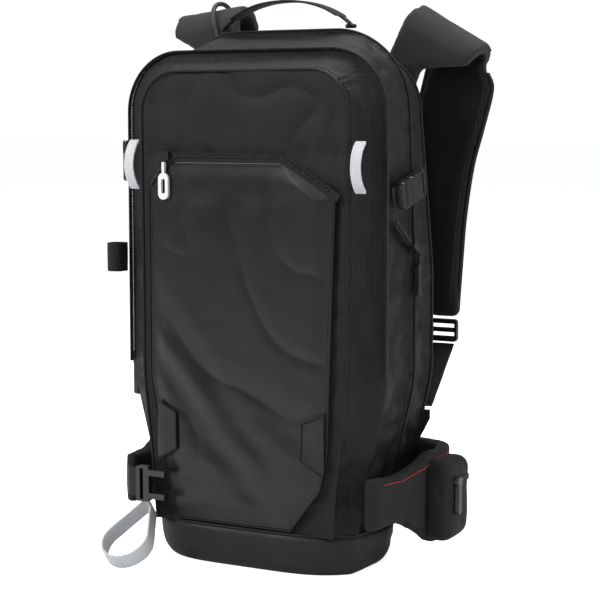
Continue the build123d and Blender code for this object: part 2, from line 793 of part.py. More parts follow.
with BuildPart() as strap_anchors:
    with BuildSketch(Plane.XZ.offset(-rear_face)):
        with BuildLine():
            Polyline(
                (back_half + 1, anchor_height - 30),
                (back_half + 1, anchor_height + 4),
                (lock_across + belt_webbing_half, anchor_height + 4),
                (lock_across + belt_webbing_half, anchor_height - 6),
                (lock_across - belt_webbing_half + 12, anchor_height - 30),
                close=True,
            )
        make_face()
        mirror(about=Plane.YZ)
    extrude(amount=-webbing)
write_piece(strap_anchors, "strap_anchors")

# ---------------------------------------------------------------- sternum strap, unclipped
sternum_across = 99.0
sternum_height = bag_top - 140
sternum_travel = 30.0
sternum_face = strap_rear + gap
with BuildPart() as sternum_slider_right:
    with BuildSketch(Plane.XZ.offset(-sternum_face)):
        with Locations((sternum_across, sternum_height)):
            RectangleRounded(26, 16, 3)
            Rectangle(17, 4.4, mode=Mode.SUBTRACT)
    extrude(amount=-4)
write_piece(sternum_slider_right, "sternum_slider_right")

with BuildPart() as sternum_slider_left:
    mirror(sternum_slider_right.part, about=Plane.YZ)
write_piece(sternum_slider_left, "sternum_slider_left")

sternum_drop = 48.0
with BuildPart() as sternum_strap_right:
    with BuildSketch(Plane.XZ.offset(-sternum_face - 1)):
        with Locations((sternum_across, sternum_height - 8 - sternum_drop / 2)):
            Rectangle(16, sternum_drop)
    extrude(amount=-webbing)
write_piece(sternum_strap_right, "sternum_strap_right")

with BuildPart() as sternum_strap_left:
    mirror(sternum_strap_right.part, about=Plane.YZ)
write_piece(sternum_strap_left, "sternum_strap_left")

clip_top = sternum_height - 8 - sternum_drop
with BuildPart() as sternum_socket:
    with BuildSketch(Plane.XZ.offset(-sternum_face)):
        with Locations((sternum_across, clip_top - 14)):
            RectangleRounded(22, 28, 4)
    extrude(amount=-9)
    with BuildSketch(Plane.XY.offset(clip_top - 28)):
        with Locations((sternum_across, sternum_face + 4.5)):
            Rectangle(15, 4.4)
    extrude(amount=18, mode=Mode.SUBTRACT)
write_piece(sternum_socket, "sternum_socket")

with BuildPart() as sternum_plug:
    with BuildSketch(Plane.XZ.offset(-sternum_face)):
        with Locations((-sternum_across, clip_top - 6)):
            RectangleRounded(22, 12, 3)
    extrude(amount=-7)
    with BuildSketch(Plane.XZ.offset(-sternum_face - 2)):
        with Locations((-sternum_across - 5, clip_top - 20), (-sternum_across + 5, clip_top - 20)):
            Rectangle(3.4, 18)
    extrude(amount=-3.4)
write_piece(sternum_plug, "sternum_plug")

# ---------------------------------------------------------------- trigger on the left strap
trigger_across = -130.0
housing_top = bag_top - 195
housing_height = 56.0
housing_bottom = housing_top - housing_height
housing_depth = 15.0
trigger_middle = strap_rear + gap + housing_depth / 2
trigger_travel = 38.0
with BuildPart() as trigger_housing:
    with BuildSketch(Plane.XY.offset(housing_bottom)):
        with Locations((trigger_across, trigger_middle)):
            RectangleRounded(32, housing_depth, 4)
    extrude(amount=housing_height)
    with BuildSketch(Plane.XY.offset(housing_bottom)):
        with Locations((trigger_across, trigger_middle)):
            Rectangle(16.8, 7.8)
    extrude(amount=housing_height - 6, mode=Mode.SUBTRACT)
write_piece(trigger_housing, "trigger_housing")

with BuildPart() as trigger_handle:
    with BuildSketch(Plane.XY.offset(housing_bottom - 4)):
        with Locations((trigger_across, trigger_middle)):
            Rectangle(16, 7)
    extrude(amount=housing_height - 8)
    with BuildSketch(Plane.XZ.offset(-trigger_middle)):
        with Locations((trigger_across, housing_bottom - 11)):
            SlotOverall(44, 14)
    extrude(amount=6, both=True)
write_piece(trigger_handle, "trigger_handle")

# Trigger cable: up the outer face of the left strap, over the fold, in through the back of
# the bag and down to the firing lever.
cable_stand = cable_diameter / 2 + gap
cable_over = Vector(-136, 0, bag_top + 8 + fold_radius + cable_stand)
lever_end_across = pivot_across - 8
cable_points = (
    (trigger_across, trigger_middle, housing_top),
    (trigger_across, trigger_middle, housing_top + 40),
    (trigger_across - 3, strap_rear + cable_stand, housing_top + 100),
    (cable_over.X, strap_rear + cable_stand, cable_over.Z),
    (cable_over.X, strap_front - cable_stand, cable_over.Z),
    (cable_entry.X, strap_front - cable_stand, cable_entry.Z),
    (cable_entry.X, bay_depth, cable_entry.Z),
    (lever_end_across, bay_depth, pivot_height + 9),
)
cable_radii = (300.0, 500.0, 28.0, 28.0, 24.0, 24.0)
with BuildPart() as trigger_cable:
    with BuildLine():
        FilletPolyline(*cable_points, radius=cable_radii)
    cable_direction = Vector(*cable_points[1]) - Vector(*cable_points[0])
    with BuildSketch(Plane(origin=cable_points[0], z_dir=cable_direction)):
        Circle(cable_diameter / 2)
    sweep()
write_piece(trigger_cable, "trigger_cable")
print("trigger_cable bend radii, mm:", *cable_radii)

# ---------------------------------------------------------------- hip belt
belt_thickness = 14.0
belt_pivot = Vector(95, rear_face + back_pad + gap + belt_thickness / 2, 0)
belt_side = bag_half + 9.0  # half distance between the two wings where they run forward
belt_tip = Vector(bag_half - 10, -68, 0)
belt_bottom = 22.0
belt_top = 120.0
tip_bottom = 53.0
tip_top = 106.0
belt_path = (
    (belt_pivot.X, belt_pivot.Y),
    (belt_side, belt_pivot.Y),
    (belt_side, 8),
    (belt_tip.X, belt_tip.Y),
)
with BuildPart() as hip_wing_right:
    with BuildSketch(Plane.XY.offset(belt_bottom)):
        with BuildLine():
            FilletPolyline(*belt_path, radius=(34, 60))
        trace(line_width=belt_thickness)
        with Locations((belt_pivot.X, belt_pivot.Y), (belt_tip.X, belt_tip.Y)):
            Circle(belt_thickness / 2)
    extrude(amount=belt_top - belt_bottom)
    with BuildSketch(Plane.YZ):
        with BuildLine():
            Polyline(
                (belt_pivot.Y + 20, belt_bottom),
                (30, belt_bottom),
                (-30, tip_bottom),
                (belt_tip.Y - 20, tip_bottom),
                (belt_tip.Y - 20, tip_top),
                (-30, tip_top),
                (30, belt_top),
                (belt_pivot.Y + 20, belt_top),
                close=True,
            )
        make_face()
    extrude(amount=2 * belt_side, mode=Mode.INTERSECT)
write_piece(hip_wing_right, "hip_wing_right")

with BuildPart() as hip_wing_left:
    mirror(hip_wing_right.part, about=Plane.YZ)
write_piece(hip_wing_left, "hip_wing_left")

# The left webbing carries its buckle half round the front corner; the right one is tucked
# back between the wing and the bag.
hip_webbing_half = 15.5
hip_webbing_middle = (tip_bottom + tip_top) / 2
belt_end = belt_tip.Y - belt_thickness / 2 - gap
with BuildPart() as hip_webbing_left:
    with BuildSketch(Plane.XY.offset(hip_webbing_middle - hip_webbing_half)):
        with BuildLine():
            FilletPolyline(
                (-belt_tip.X, belt_end - 1.5),
                (-belt_tip.X + 7, belt_end - 10),
                (-belt_tip.X + 20, belt_end - 14),
                radius=6,
            )
        trace(line_width=webbing)
    extrude(amount=2 * hip_webbing_half)
write_piece(hip_webbing_left, "hip_webbing_left")

hip_buckle_height = 37.0
with BuildPart() as hip_buckle_male:
    with BuildSketch(Plane.XZ.offset(-belt_end + 12)):
        with Locations((-belt_tip.X + 29, hip_webbing_middle)):
            RectangleRounded(16, hip_buckle_height, 3)
            with Locations((-1, 0)):
                Rectangle(4.2, 2 * hip_webbing_half + 1, mode=Mode.SUBTRACT)
        prong = (-belt_tip.X + 46, hip_webbing_middle)
        with Locations((prong[0], prong[1] + 12), (prong[0], prong[1] - 12)):
            Rectangle(20, 6)
    extrude(amount=7)
write_piece(hip_buckle_male, "hip_buckle_male")

tuck_across = belt_side - belt_thickness / 2 - 3 * gap - 6
with BuildPart() as hip_webbing_right:
    with BuildSketch(Plane.YZ.offset(tuck_across)):
        with Locations((14, hip_webbing_middle)):
            Rectangle(20, 2 * hip_webbing_half)
    extrude(amount=-webbing)
write_piece(hip_webbing_right, "hip_webbing_right")

with BuildPart() as hip_buckle_female:
    with BuildSketch(Plane.YZ.offset(tuck_across - 3)):
        with Locations((42, hip_webbing_middle)):
            RectangleRounded(36, hip_buckle_height, 4)
    extrude(amount=8)
    with BuildSketch(Plane.YZ.offset(tuck_across - 1)):
        with Locations((50, hip_webbing_middle)):
            Rectangle(22, hip_buckle_height - 8)
    extrude(amount=4.4, mode=Mode.SUBTRACT)
write_piece(hip_buckle_female, "hip_buckle_female")

pocket_inner = belt_side + belt_thickness / 2
pocket_outer = pocket_inner + 25
with BuildPart() as hip_pocket:
    with BuildSketch(Plane.YZ.offset(pocket_inner)):
        with Locations((34, 72)):
            RectangleRounded(60, 84, 14)
    extrude(amount=pocket_outer - pocket_inner)
    fillet(hip_pocket.faces().sort_by(Axis.X)[-1].edges(), 11)
write_piece(hip_pocket, "hip_pocket")

pocket_zip_height = 92.0
with BuildPart() as hip_pocket_zip:
    with BuildSketch(Plane.YZ.offset(pocket_outer)):
        with Locations((34, pocket_zip_height)):
            Rectangle(36, 6)
    extrude(amount=skin)
write_piece(hip_pocket_zip, "hip_pocket_zip")

with BuildPart() as hip_pocket_slider:
    with BuildSketch(Plane.YZ.offset(pocket_outer + skin + gap)):
        with Locations((22, pocket_zip_height)):
            RectangleRounded(11, 8, 2)
        with Locations((22, pocket_zip_height - 18)):
            SlotOverall(32, 7, rotation=90)
    extrude(amount=slider_thickness - 1)
write_piece(hip_pocket_slider, "hip_pocket_slider")
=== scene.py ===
import math

import bmesh
import bpy
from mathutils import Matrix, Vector, noise
from mathutils.bvhtree import BVHTree


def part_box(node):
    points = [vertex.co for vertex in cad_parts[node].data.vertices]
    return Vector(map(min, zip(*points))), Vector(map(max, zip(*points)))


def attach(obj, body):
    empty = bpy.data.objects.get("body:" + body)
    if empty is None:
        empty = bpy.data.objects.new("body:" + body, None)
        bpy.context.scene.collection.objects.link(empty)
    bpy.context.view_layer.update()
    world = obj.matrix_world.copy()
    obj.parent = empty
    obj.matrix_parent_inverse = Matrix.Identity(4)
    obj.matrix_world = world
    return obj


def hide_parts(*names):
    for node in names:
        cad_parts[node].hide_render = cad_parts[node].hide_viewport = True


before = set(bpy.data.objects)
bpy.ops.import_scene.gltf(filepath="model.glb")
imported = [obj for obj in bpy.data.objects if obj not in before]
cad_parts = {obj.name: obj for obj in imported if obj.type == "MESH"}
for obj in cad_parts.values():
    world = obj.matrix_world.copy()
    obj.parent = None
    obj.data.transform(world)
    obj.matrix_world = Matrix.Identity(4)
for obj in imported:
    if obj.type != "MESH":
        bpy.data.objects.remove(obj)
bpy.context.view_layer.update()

# Avalanche airbag backpack: the looks of every piece, in metres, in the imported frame.
# +Z is up, -Y is the front of the bag and +X is to the right seen from the front.

MM = 0.001

# ------------------------------------------------------------ sizes, from the frame
shell_low, shell_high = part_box("main_shell")
front_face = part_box("front_shell")[0].y
rear_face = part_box("rear_shell")[1].y
bag_half = shell_high.x
bag_top = shell_high.z
zip_depth = shell_low.y
seam_depth = shell_high.y
base_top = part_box("base_panel")[1].z
shoulder = bag_top - 83 * MM
heights = (base_top, 110 * MM, 190 * MM, 300 * MM, shoulder)

# Front-view outlines at four depths: depth, half widths at the five heights, top.
piping_line = (front_face + 3 * MM, [bag_half - d * MM for d in (47, 41, 32, 32, 31)], bag_top - 42 * MM)
zip_line = (zip_depth, [bag_half - d * MM for d in (31, 21, 0, 0, 0)], bag_top - 22 * MM)
seam_line = (seam_depth, [bag_half - d * MM for d in (31, 21, 2, 2, 9)], bag_top)
rear_line = (rear_face, [bag_half - d * MM for d in (37, 27, 7, 7, 21)], bag_top - 23 * MM)


# ------------------------------------------------------------ small helpers
def lerp(a, b, t):
    return a + (b - a) * t


def clamp(value, low=0.0, high=1.0):
    return max(low, min(high, value))


def ease(t):
    t = clamp(t)
    return t * t * (3 - 2 * t)


def table(value, points):
    """Straight-line reading of a short list of (place, value) points."""
    if value <= points[0][0]:
        return points[0][1]
    for (a, start), (b, end) in zip(points, points[1:]):
        if value <= b:
            return lerp(start, end, (value - a) / (b - a))
    return points[-1][1]


def soft_table(value, points, reach):
    """The same reading, averaged over a reach to each side, so its corners are round."""
    steps = [value + reach * k / 3 for k in range(-3, 4)]
    return sum(table(s, points) for s in steps) / len(steps)


def ripple(x, y, z=0.0):
    """Smooth unseeded noise from -1 to 1."""
    return noise.noise(Vector((x, y, z)))


# ------------------------------------------------------------ material parts
def new_group(name, inputs, outputs):
    group = bpy.data.node_groups.new(name, "ShaderNodeTree")
    for label, kind, value in inputs:
        socket = group.interface.new_socket(label, in_out="INPUT", socket_type=kind)
        if value is not None:
            socket.default_value = value
    for label, kind in outputs:
        group.interface.new_socket(label, in_out="OUTPUT", socket_type=kind)
    nodes = group.nodes
    return group, nodes.new("NodeGroupInput"), nodes.new("NodeGroupOutput")


def maths(tree, operation, first, second=None, third=None):
    node = tree.nodes.new("ShaderNodeMath")
    node.operation = operation
    for socket, value in zip(node.inputs, (first, second, third)):
        if value is None:
            continue
        if isinstance(value, (int, float)):
            socket.default_value = value
        else:
            tree.links.new(value, socket)
    return node.outputs[0]


def texture(tree, kind, vector, **values):
    node = tree.nodes.new(kind)
    tree.links.new(vector, node.inputs["Vector"])
    for label, value in values.items():
        node.inputs[label.replace("_", " ")].default_value = value
    return node


def build_weave():
    """Over-and-under threads of a plain weave, laid along the cloth's own directions."""
    group, start, end = new_group(
        "plain_weave",
        [("Vector", "NodeSocketVector", None), ("Threads per metre", "NodeSocketFloat", 1600.0)],
        [("Height", "NodeSocketFloat")],
    )
    split = group.nodes.new("ShaderNodeSeparateXYZ")
    group.links.new(start.outputs[0], split.inputs[0])
    turn = maths(group, "MULTIPLY", start.outputs[1], math.pi)
    across = maths(group, "SINE", maths(group, "MULTIPLY", split.outputs[0], turn))
    along = maths(group, "SINE", maths(group, "MULTIPLY", split.outputs[1], turn))
    both = maths(group, "MULTIPLY", across, along)
    ribs = maths(group, "ABSOLUTE", across)
    total = maths(group, "MULTIPLY_ADD", ribs, 0.4, maths(group, "MULTIPLY_ADD", both, 0.3, 0.3))
    group.links.new(total, end.inputs[0])
    return group


def build_ripstop():
    """Thicker threads that cross the cloth as a small grid."""
    group, start, end = new_group(
        "ripstop_grid",
        [("Vector", "NodeSocketVector", None), ("Grid per metre", "NodeSocketFloat", 220.0)],
        [("Mask", "NodeSocketFloat")],
    )
    split = group.nodes.new("ShaderNodeSeparateXYZ")
    group.links.new(start.outputs[0], split.inputs[0])
    lines = []
    for axis in (0, 1):
        place = maths(group, "FRACT", maths(group, "MULTIPLY", split.outputs[axis], start.outputs[1]))
        middle = maths(group, "ABSOLUTE", maths(group, "SUBTRACT", place, 0.5))
        lines.append(maths(group, "GREATER_THAN", middle, 0.43))
    group.links.new(maths(group, "MAXIMUM", *lines), end.inputs[0])
    return group


def build_cloth_place():
    """Flat coordinates on a piece: the two axes that its surface faces across."""
    group, start, end = new_group(
        "cloth_place",
        [("Place", "NodeSocketVector", None), ("Facing", "NodeSocketVector", None)],
        [("Vector", "NodeSocketVector")],
    )
    place = group.nodes.new("ShaderNodeSeparateXYZ")
    group.links.new(start.outputs[0], place.inputs[0])
    facing = group.nodes.new("ShaderNodeSeparateXYZ")
    group.links.new(start.outputs[1], facing.inputs[0])
    size = [maths(group, "ABSOLUTE", facing.outputs[axis]) for axis in range(3)]
    sideways = maths(group, "GREATER_THAN", size[0], maths(group, "MAXIMUM", size[1], size[2]))
    upward = maths(group, "GREATER_THAN", size[2], maths(group, "MAXIMUM", size[0], size[1]))
    x, y, z = place.outputs[:3]
    across = maths(group, "MULTIPLY_ADD", sideways, maths(group, "SUBTRACT", y, x), x)
    along = maths(group, "MULTIPLY_ADD", upward, maths(group, "SUBTRACT", y, z), z)
    joined = group.nodes.new("ShaderNodeCombineXYZ")
    group.links.new(across, joined.inputs[0])
    group.links.new(along, joined.inputs[1])
    group.links.new(joined.outputs[0], end.inputs[0])
    return group


def build_mottle():
    """Cloudy unevenness of dye and dust, and the fine grain on top of it."""
    group, start, end = new_group(
        "mottle",
        [("Vector", "NodeSocketVector", None), ("Size", "NodeSocketFloat", 12.0)],
        [("Clouds", "NodeSocketFloat"), ("Grain", "NodeSocketFloat")],
    )
    clouds = texture(group, "ShaderNodeTexNoise", start.outputs[0], Detail=4.0, Roughness=0.55)
    group.links.new(start.outputs[1], clouds.inputs["Scale"])
    grain = texture(group, "ShaderNodeTexNoise", start.outputs[0], Detail=3.0, Roughness=0.7)
    group.links.new(maths(group, "MULTIPLY", start.outputs[1], 90.0), grain.inputs["Scale"])
    group.links.new(clouds.outputs[0], end.inputs[0])
    group.links.new(grain.outputs[0], end.inputs[1])
    return group


def build_mesh_holes():
    """Round holes of spacer mesh, in staggered rows."""
    group, start, end = new_group(
        "spacer_mesh",
        [("Vector", "NodeSocketVector", None), ("Holes per metre", "NodeSocketFloat", 380.0)],
        [("Mask", "NodeSocketFloat"), ("Height", "NodeSocketFloat")],
    )
    cells = group.nodes.new("ShaderNodeTexVoronoi")
    cells.inputs["Randomness"].default_value = 0.12
    group.links.new(start.outputs[0], cells.inputs["Vector"])
    group.links.new(start.outputs[1], cells.inputs["Scale"])
    mask = maths(group, "LESS_THAN", cells.outputs["Distance"], 0.3)
    group.links.new(mask, end.inputs[0])
    group.links.new(maths(group, "MINIMUM", cells.outputs["Distance"], 0.45), end.inputs[1])
    return group


weave, ripstop, mottle, mesh_holes = build_weave(), build_ripstop(), build_mottle(), build_mesh_holes()
cloth_place = build_cloth_place()


def start_material(name, roughness, metallic=0.0, coat=0.0, sheen=0.0, sheen_roughness=0.5, gloss=0.5):
    """Empty material with its shader, and the constants that don't vary over it."""
    material = bpy.data.materials.new(name)
    material.use_nodes = True
    tree = material.node_tree
    shader = tree.nodes["Principled BSDF"]
    shader.inputs["Roughness"].default_value = roughness
    shader.inputs["Metallic"].default_value = metallic
    shader.inputs["Coat Weight"].default_value = coat
    shader.inputs["Coat Roughness"].default_value = 0.25
    shader.inputs["Sheen Weight"].default_value = sheen
    shader.inputs["Sheen Roughness"].default_value = sheen_roughness
    shader.inputs["Specular IOR Level"].default_value = gloss
    return material, tree, shader


def use_group(tree, group, vector, value=None):
    node = tree.nodes.new("ShaderNodeGroup")
    node.node_tree = group
    tree.links.new(vector, node.inputs[0])
    if value is not None:
        node.inputs[1].default_value = value
    return node


def coordinates(tree):
    """Place on the piece, and the same place laid flat for threads and holes."""
    node = tree.nodes.new("ShaderNodeTexCoord")
    flat = tree.nodes.new("ShaderNodeGroup")
    flat.node_tree = cloth_place
    tree.links.new(node.outputs["Object"], flat.inputs[0])
    tree.links.new(node.outputs["Normal"], flat.inputs[1])
    return node.outputs["Object"], flat.outputs[0]


def colour_mix(tree, factor, first, second):
    mix = tree.nodes.new("ShaderNodeMix")
    mix.data_type = "RGBA"
    tree.links.new(factor, mix.inputs[0])
    for socket, value in ((mix.inputs[6], first), (mix.inputs[7], second)):
        if isinstance(value, tuple):
            socket.default_value = (*value, 1)
        else:
            tree.links.new(value, socket)
    return mix.outputs[2]


def remap(tree, value, low, high):
    node = tree.nodes.new("ShaderNodeMapRange")
    tree.links.new(value, node.inputs["Value"])
    node.inputs["From Min"].default_value = 0.3
    node.inputs["From Max"].default_value = 0.7
    node.inputs["To Min"].default_value = low
    node.inputs["To Max"].default_value = high
    return node.outputs[0]


def add_bump(tree, shader, height, distance, strength=1.0):
    bump = tree.nodes.new("ShaderNodeBump")
    bump.inputs["Distance"].default_value = distance
    bump.inputs["Strength"].default_value = strength
    tree.links.new(height, bump.inputs["Height"])
    previous = shader.inputs["Normal"].links
    if previous:
        tree.links.new(previous[0].from_socket, bump.inputs["Normal"])
    tree.links.new(bump.outputs[0], shader.inputs["Normal"])


def woven(name, dark, light, roughness, threads=1500.0, sheen=0.15, grid=0.0, relief=0.25, clouds=9.0):
    """Woven cloth: thread relief with painted shade darkening the hollows between threads, optional ripstop grid,
    uneven dye and sheen.
    """
    material, tree, shader = start_material(name, roughness[0], sheen=sheen, gloss=0.28)
    place, flat = coordinates(tree)
    unevenness = use_group(tree, mottle, place, clouds)
    threads_node = use_group(tree, weave, flat, threads)
    colour = colour_mix(tree, unevenness.outputs["Clouds"], dark, light)
    # Painted shade: the hollows between threads are mixed towards a darker copy of the dye.
    lit = colour_mix(tree, threads_node.outputs["Height"], tuple(c * 0.7 for c in dark), colour)
    add_bump(tree, shader, threads_node.outputs["Height"], relief * MM)
    add_bump(tree, shader, unevenness.outputs["Grain"], 0.12 * MM)
    if grid:
        lines = use_group(tree, ripstop, flat, grid)
        shown = maths(tree, "MULTIPLY", lines.outputs[0], 0.6)
        lit = colour_mix(tree, shown, lit, tuple(c * 2.4 for c in light))
        add_bump(tree, shader, lines.outputs[0], 0.12 * MM)
    tree.links.new(lit, shader.inputs["Base Color"])
    tree.links.new(remap(tree, unevenness.outputs["Clouds"], *roughness), shader.inputs["Roughness"])
    return material


def laminated(name, dark, light, roughness, wrinkle=0.25):
    """Laminated satin cloth: film over a weave, with rub marks and hairline creases."""
    material, tree, shader = start_material(name, roughness[0], coat=0.0, sheen=0.0, gloss=0.42)
    place, flat = coordinates(tree)
    broad = use_group(tree, mottle, place, 7.0)
    rubs = use_group(tree, mottle, place, 38.0)
    backing = use_group(tree, weave, flat, 900.0)
    colour = colour_mix(tree, broad.outputs["Clouds"], dark, light)
    tree.links.new(colour, shader.inputs["Base Color"])
    wide = maths(tree, "MULTIPLY", broad.outputs["Clouds"], 0.6)
    mixed = maths(tree, "MULTIPLY_ADD", rubs.outputs["Clouds"], 0.4, wide)
    tree.links.new(remap(tree, mixed, *roughness), shader.inputs["Roughness"])
    add_bump(tree, shader, backing.outputs["Height"], 0.05 * MM)
    add_bump(tree, shader, rubs.outputs["Clouds"], wrinkle * MM)
    add_bump(tree, shader, rubs.outputs["Grain"], 0.05 * MM)
    return material


def spacer_cloth(name, thread, shaded_hole_colour):
    """Spacer mesh over foam, with painted shade filling its holes."""
    material, tree, shader = start_material(name, 0.8, sheen=0.06, gloss=0.2)
    place, flat = coordinates(tree)
    holes = use_group(tree, mesh_holes, flat, 330.0)
    unevenness = use_group(tree, mottle, place, 10.0)
    # Painted shade: the holes get a near-black colour that stands in for the shade inside them.
    colour = colour_mix(tree, holes.outputs["Mask"], thread, shaded_hole_colour)
    faded = maths(tree, "MULTIPLY", unevenness.outputs["Clouds"], 0.5)
    uneven_colour = colour_mix(tree, faded, colour, tuple(c * 1.4 for c in thread))
    tree.links.new(uneven_colour, shader.inputs["Base Color"])
    add_bump(tree, shader, holes.outputs["Height"], 0.7 * MM)
    add_bump(tree, shader, unevenness.outputs["Grain"], 0.1 * MM)
    return material


def moulded(name, dark, light, roughness, grain=0.06, coat=0.0, metallic=0.0, size=60.0):
    """Moulded plastic, paint or metal with fine grain and rubbed patches."""
    material, tree, shader = start_material(name, roughness[0], metallic=metallic, coat=coat)
    place, flat = coordinates(tree)
    surface = use_group(tree, mottle, place, size)
    tree.links.new(colour_mix(tree, surface.outputs["Clouds"], dark, light), shader.inputs["Base Color"])
    tree.links.new(remap(tree, surface.outputs["Clouds"], *roughness), shader.inputs["Roughness"])
    add_bump(tree, shader, surface.outputs["Grain"], grain * MM)
    return material


ripstop_cloth = woven(
    "ripstop_cloth", (0.0036, 0.0036, 0.0048), (0.0064, 0.0064, 0.0083),
    (0.46, 0.62), 1500, 0.02, 210,
)
tarpaulin = laminated("tarpaulin", (0.0050, 0.0052, 0.0053), (0.0100, 0.0104, 0.0104), (0.27, 0.44))
patch_film = laminated("patch_film", (0.006, 0.006, 0.006), (0.011, 0.011, 0.011), (0.36, 0.5), 0.12)
base_cloth = laminated(
    "base_cloth", (0.0035, 0.0035, 0.0038), (0.006, 0.006, 0.0065),
    (0.48, 0.66), 0.35,
)
strap_cloth = woven(
    "strap_cloth", (0.017, 0.0172, 0.019), (0.027, 0.0272, 0.030),
    (0.66, 0.8), 1100, 0.06, relief=0.35,
)
belt_cloth = woven(
    "belt_cloth", (0.0050, 0.0050, 0.0062), (0.0085, 0.0085, 0.0102),
    (0.55, 0.72), 1200, 0.03, relief=0.35,
)
# The second colour is the painted shade inside the mesh holes.
mesh_cloth = spacer_cloth("mesh_cloth", (0.0075, 0.0075, 0.0088), (0.0015, 0.0015, 0.0018))
black_tape = woven(
    "black_tape", (0.0048, 0.0048, 0.0056), (0.0090, 0.0090, 0.0102),
    (0.52, 0.68), 560, 0.03, relief=0.5,
)
white_tape = woven(
    "white_tape", (0.62, 0.63, 0.65), (0.78, 0.79, 0.81),
    (0.6, 0.75), 520, 0.05, relief=0.5, clouds=25.0,
)
piping_cloth = woven(
    "piping_cloth", (0.004, 0.004, 0.0048), (0.007, 0.007, 0.008),
    (0.42, 0.56), 900, 0.02,
)
airbag_cloth = woven("airbag_cloth", (0.62, 0.17, 0.02), (0.78, 0.25, 0.04), (0.5, 0.62), 1500, 0.1)
sleeve_cloth = woven(
    "sleeve_cloth", (0.03, 0.033, 0.04), (0.05, 0.055, 0.065),
    (0.5, 0.65), 1500, 0.05, 210,
)
thread_dark = moulded("thread_dark", (0.012, 0.012, 0.014), (0.020, 0.020, 0.023), (0.55, 0.7), size=300)
thread_red = moulded("thread_red", (0.45, 0.015, 0.012), (0.60, 0.03, 0.02), (0.5, 0.65), size=300)
acetal = moulded("acetal", (0.006, 0.006, 0.007), (0.011, 0.011, 0.013), (0.22, 0.34), 0.03, 0.25)
rubber = moulded("rubber", (0.005, 0.005, 0.0055), (0.009, 0.009, 0.0095), (0.5, 0.65), 0.08)
white_rubber = moulded("white_rubber", (0.70, 0.71, 0.73), (0.82, 0.83, 0.85), (0.38, 0.5), 0.05, 0.1)
enamel = moulded("enamel", (0.012, 0.012, 0.013), (0.022, 0.022, 0.024), (0.25, 0.38), 0.03, 0.3, 0.4)
brushed = moulded(
    "brushed_alloy", (0.55, 0.56, 0.58), (0.68, 0.69, 0.71),
    (0.28, 0.42), 0.04, 0.0, 1.0, 25.0,
)
cylinder_paint = moulded(
    "cylinder_paint", (0.30, 0.31, 0.33), (0.38, 0.39, 0.41),
    (0.3, 0.42), 0.03, 0.3, 0.3,
)
sheet_plastic = moulded("sheet_plastic", (0.025, 0.025, 0.027), (0.040, 0.040, 0.043), (0.45, 0.6), 0.1)
trigger_plastic = moulded(
    "trigger_plastic", (0.40, 0.015, 0.01), (0.52, 0.03, 0.02),
    (0.35, 0.48), 0.06, 0.1,
)
hose_rubber = moulded("hose_rubber", (0.014, 0.014, 0.015), (0.022, 0.022, 0.024), (0.5, 0.62), 0.08)


# ------------------------------------------------------------ building pieces
def add_piece(name, mesh, materials, body="root", stands_for=(), slot=None):
    for material in materials:
        mesh.materials.append(material)
    mesh.shade_smooth()
    piece = bpy.data.objects.new(name, mesh)
    bpy.context.scene.collection.objects.link(piece)
    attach(piece, body)
    if stands_for:
        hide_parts(*stands_for)
    return piece


def loft(name, rows, materials, closed=False, capped=False, keep=None, **facts):
    """Surface through rows of points; keep(middle) says which faces stay."""
    width = len(rows[0])
    points = [p for row in rows for p in row]
    faces = []
    for r in range(len(rows) - 1):
        for c in range(width if closed else width - 1):
            d = (c + 1) % width
            face = (r * width + c, r * width + d, (r + 1) * width + d, (r + 1) * width + c)
            if keep and not keep((points[face[0]] + points[face[2]]) / 2):
                continue
            faces.append(face)
    if capped:
        faces.append(tuple(reversed(range(width))))
        faces.append(tuple((len(rows) - 1) * width + c for c in range(width)))
    mesh = bpy.data.meshes.new(name)
    mesh.from_pydata(points, [], faces)
    return add_piece(name, mesh, materials, **facts)


def tube(name, points, radius, material, body="root", closed=False):
    """Round cord or piping through points."""
    curve = bpy.data.curves.new(name, "CURVE")
    curve.dimensions = "3D"
    curve.bevel_depth = radius
    curve.bevel_resolution = 3
    curve.use_fill_caps = True
    spline = curve.splines.new("POLY")
    spline.points.add(len(points) - 1)
    for target, point in zip(spline.points, points):
        target.co = (*point, 1)
    spline.use_cyclic_u = closed
    spline.use_smooth = True
    curve.materials.append(material)
    piece = bpy.data.objects.new(name, curve)
    bpy.context.scene.collection.objects.link(piece)
    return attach(piece, body)


def spaced(path, pitch):
    """Even places along a path of (point, outward) pairs: point, outward, direction."""
    places, walked, goal = [], 0.0, pitch / 2
    for (a, out_a), (b, out_b) in zip(path, path[1:]):
        reach = (b - a).length
        while reach > 0 and goal <= walked + reach:
            t = (goal - walked) / reach
            places.append((a.lerp(b, t), out_a.lerp(out_b, t).normalized(), (b - a).normalized()))
            goal += pitch
        walked += reach
    return places


def bars(name, path, pitch, size, material, body="root", shift=0.0, lift=0.0):
    """Row of small rounded bars, such as stitches or zip teeth. size is along, across, up."""
    mesh = bpy.data.meshes.new(name)
    points, faces = [], []
    for count, (point, out, along) in enumerate(spaced(path, pitch)):
        across = out.cross(along)
        middle = point + out * lift + across * (shift if count % 2 else -shift)
        first = len(points)
        for end in (-1, 1):
            for u, v in ((-0.5, -0.5), (-0.5, 0.2), (-0.2, 0.5), (0.2, 0.5), (0.5, 0.2), (0.5, -0.5)):
                points.append(middle + along * size[0] * end / 2 + across * size[1] * u + out * size[2] * v)
        for k in range(6):
            after = (k + 1) % 6
            faces.append((first + k, first + after, first + 6 + after, first + 6 + k))
        faces += [tuple(first + k for k in reversed(range(6))), tuple(first + 6 + k for k in range(6))]
    mesh.from_pydata(points, [], faces)
    return add_piece(name, mesh, [material], body=body)


def stitches(name, path, material=None, body="root"):
    return bars(name, path, 4.2 * MM, (3.0 * MM, 0.75 * MM, 0.7 * MM), material or thread_dark, body)


def settled(piece):
    """Put the piece's modifiers into its mesh."""
    graph = bpy.context.evaluated_depsgraph_get()
    mesh = bpy.data.meshes.new_from_object(piece.evaluated_get(graph))
    piece.modifiers.clear()
    piece.data = mesh
    return piece


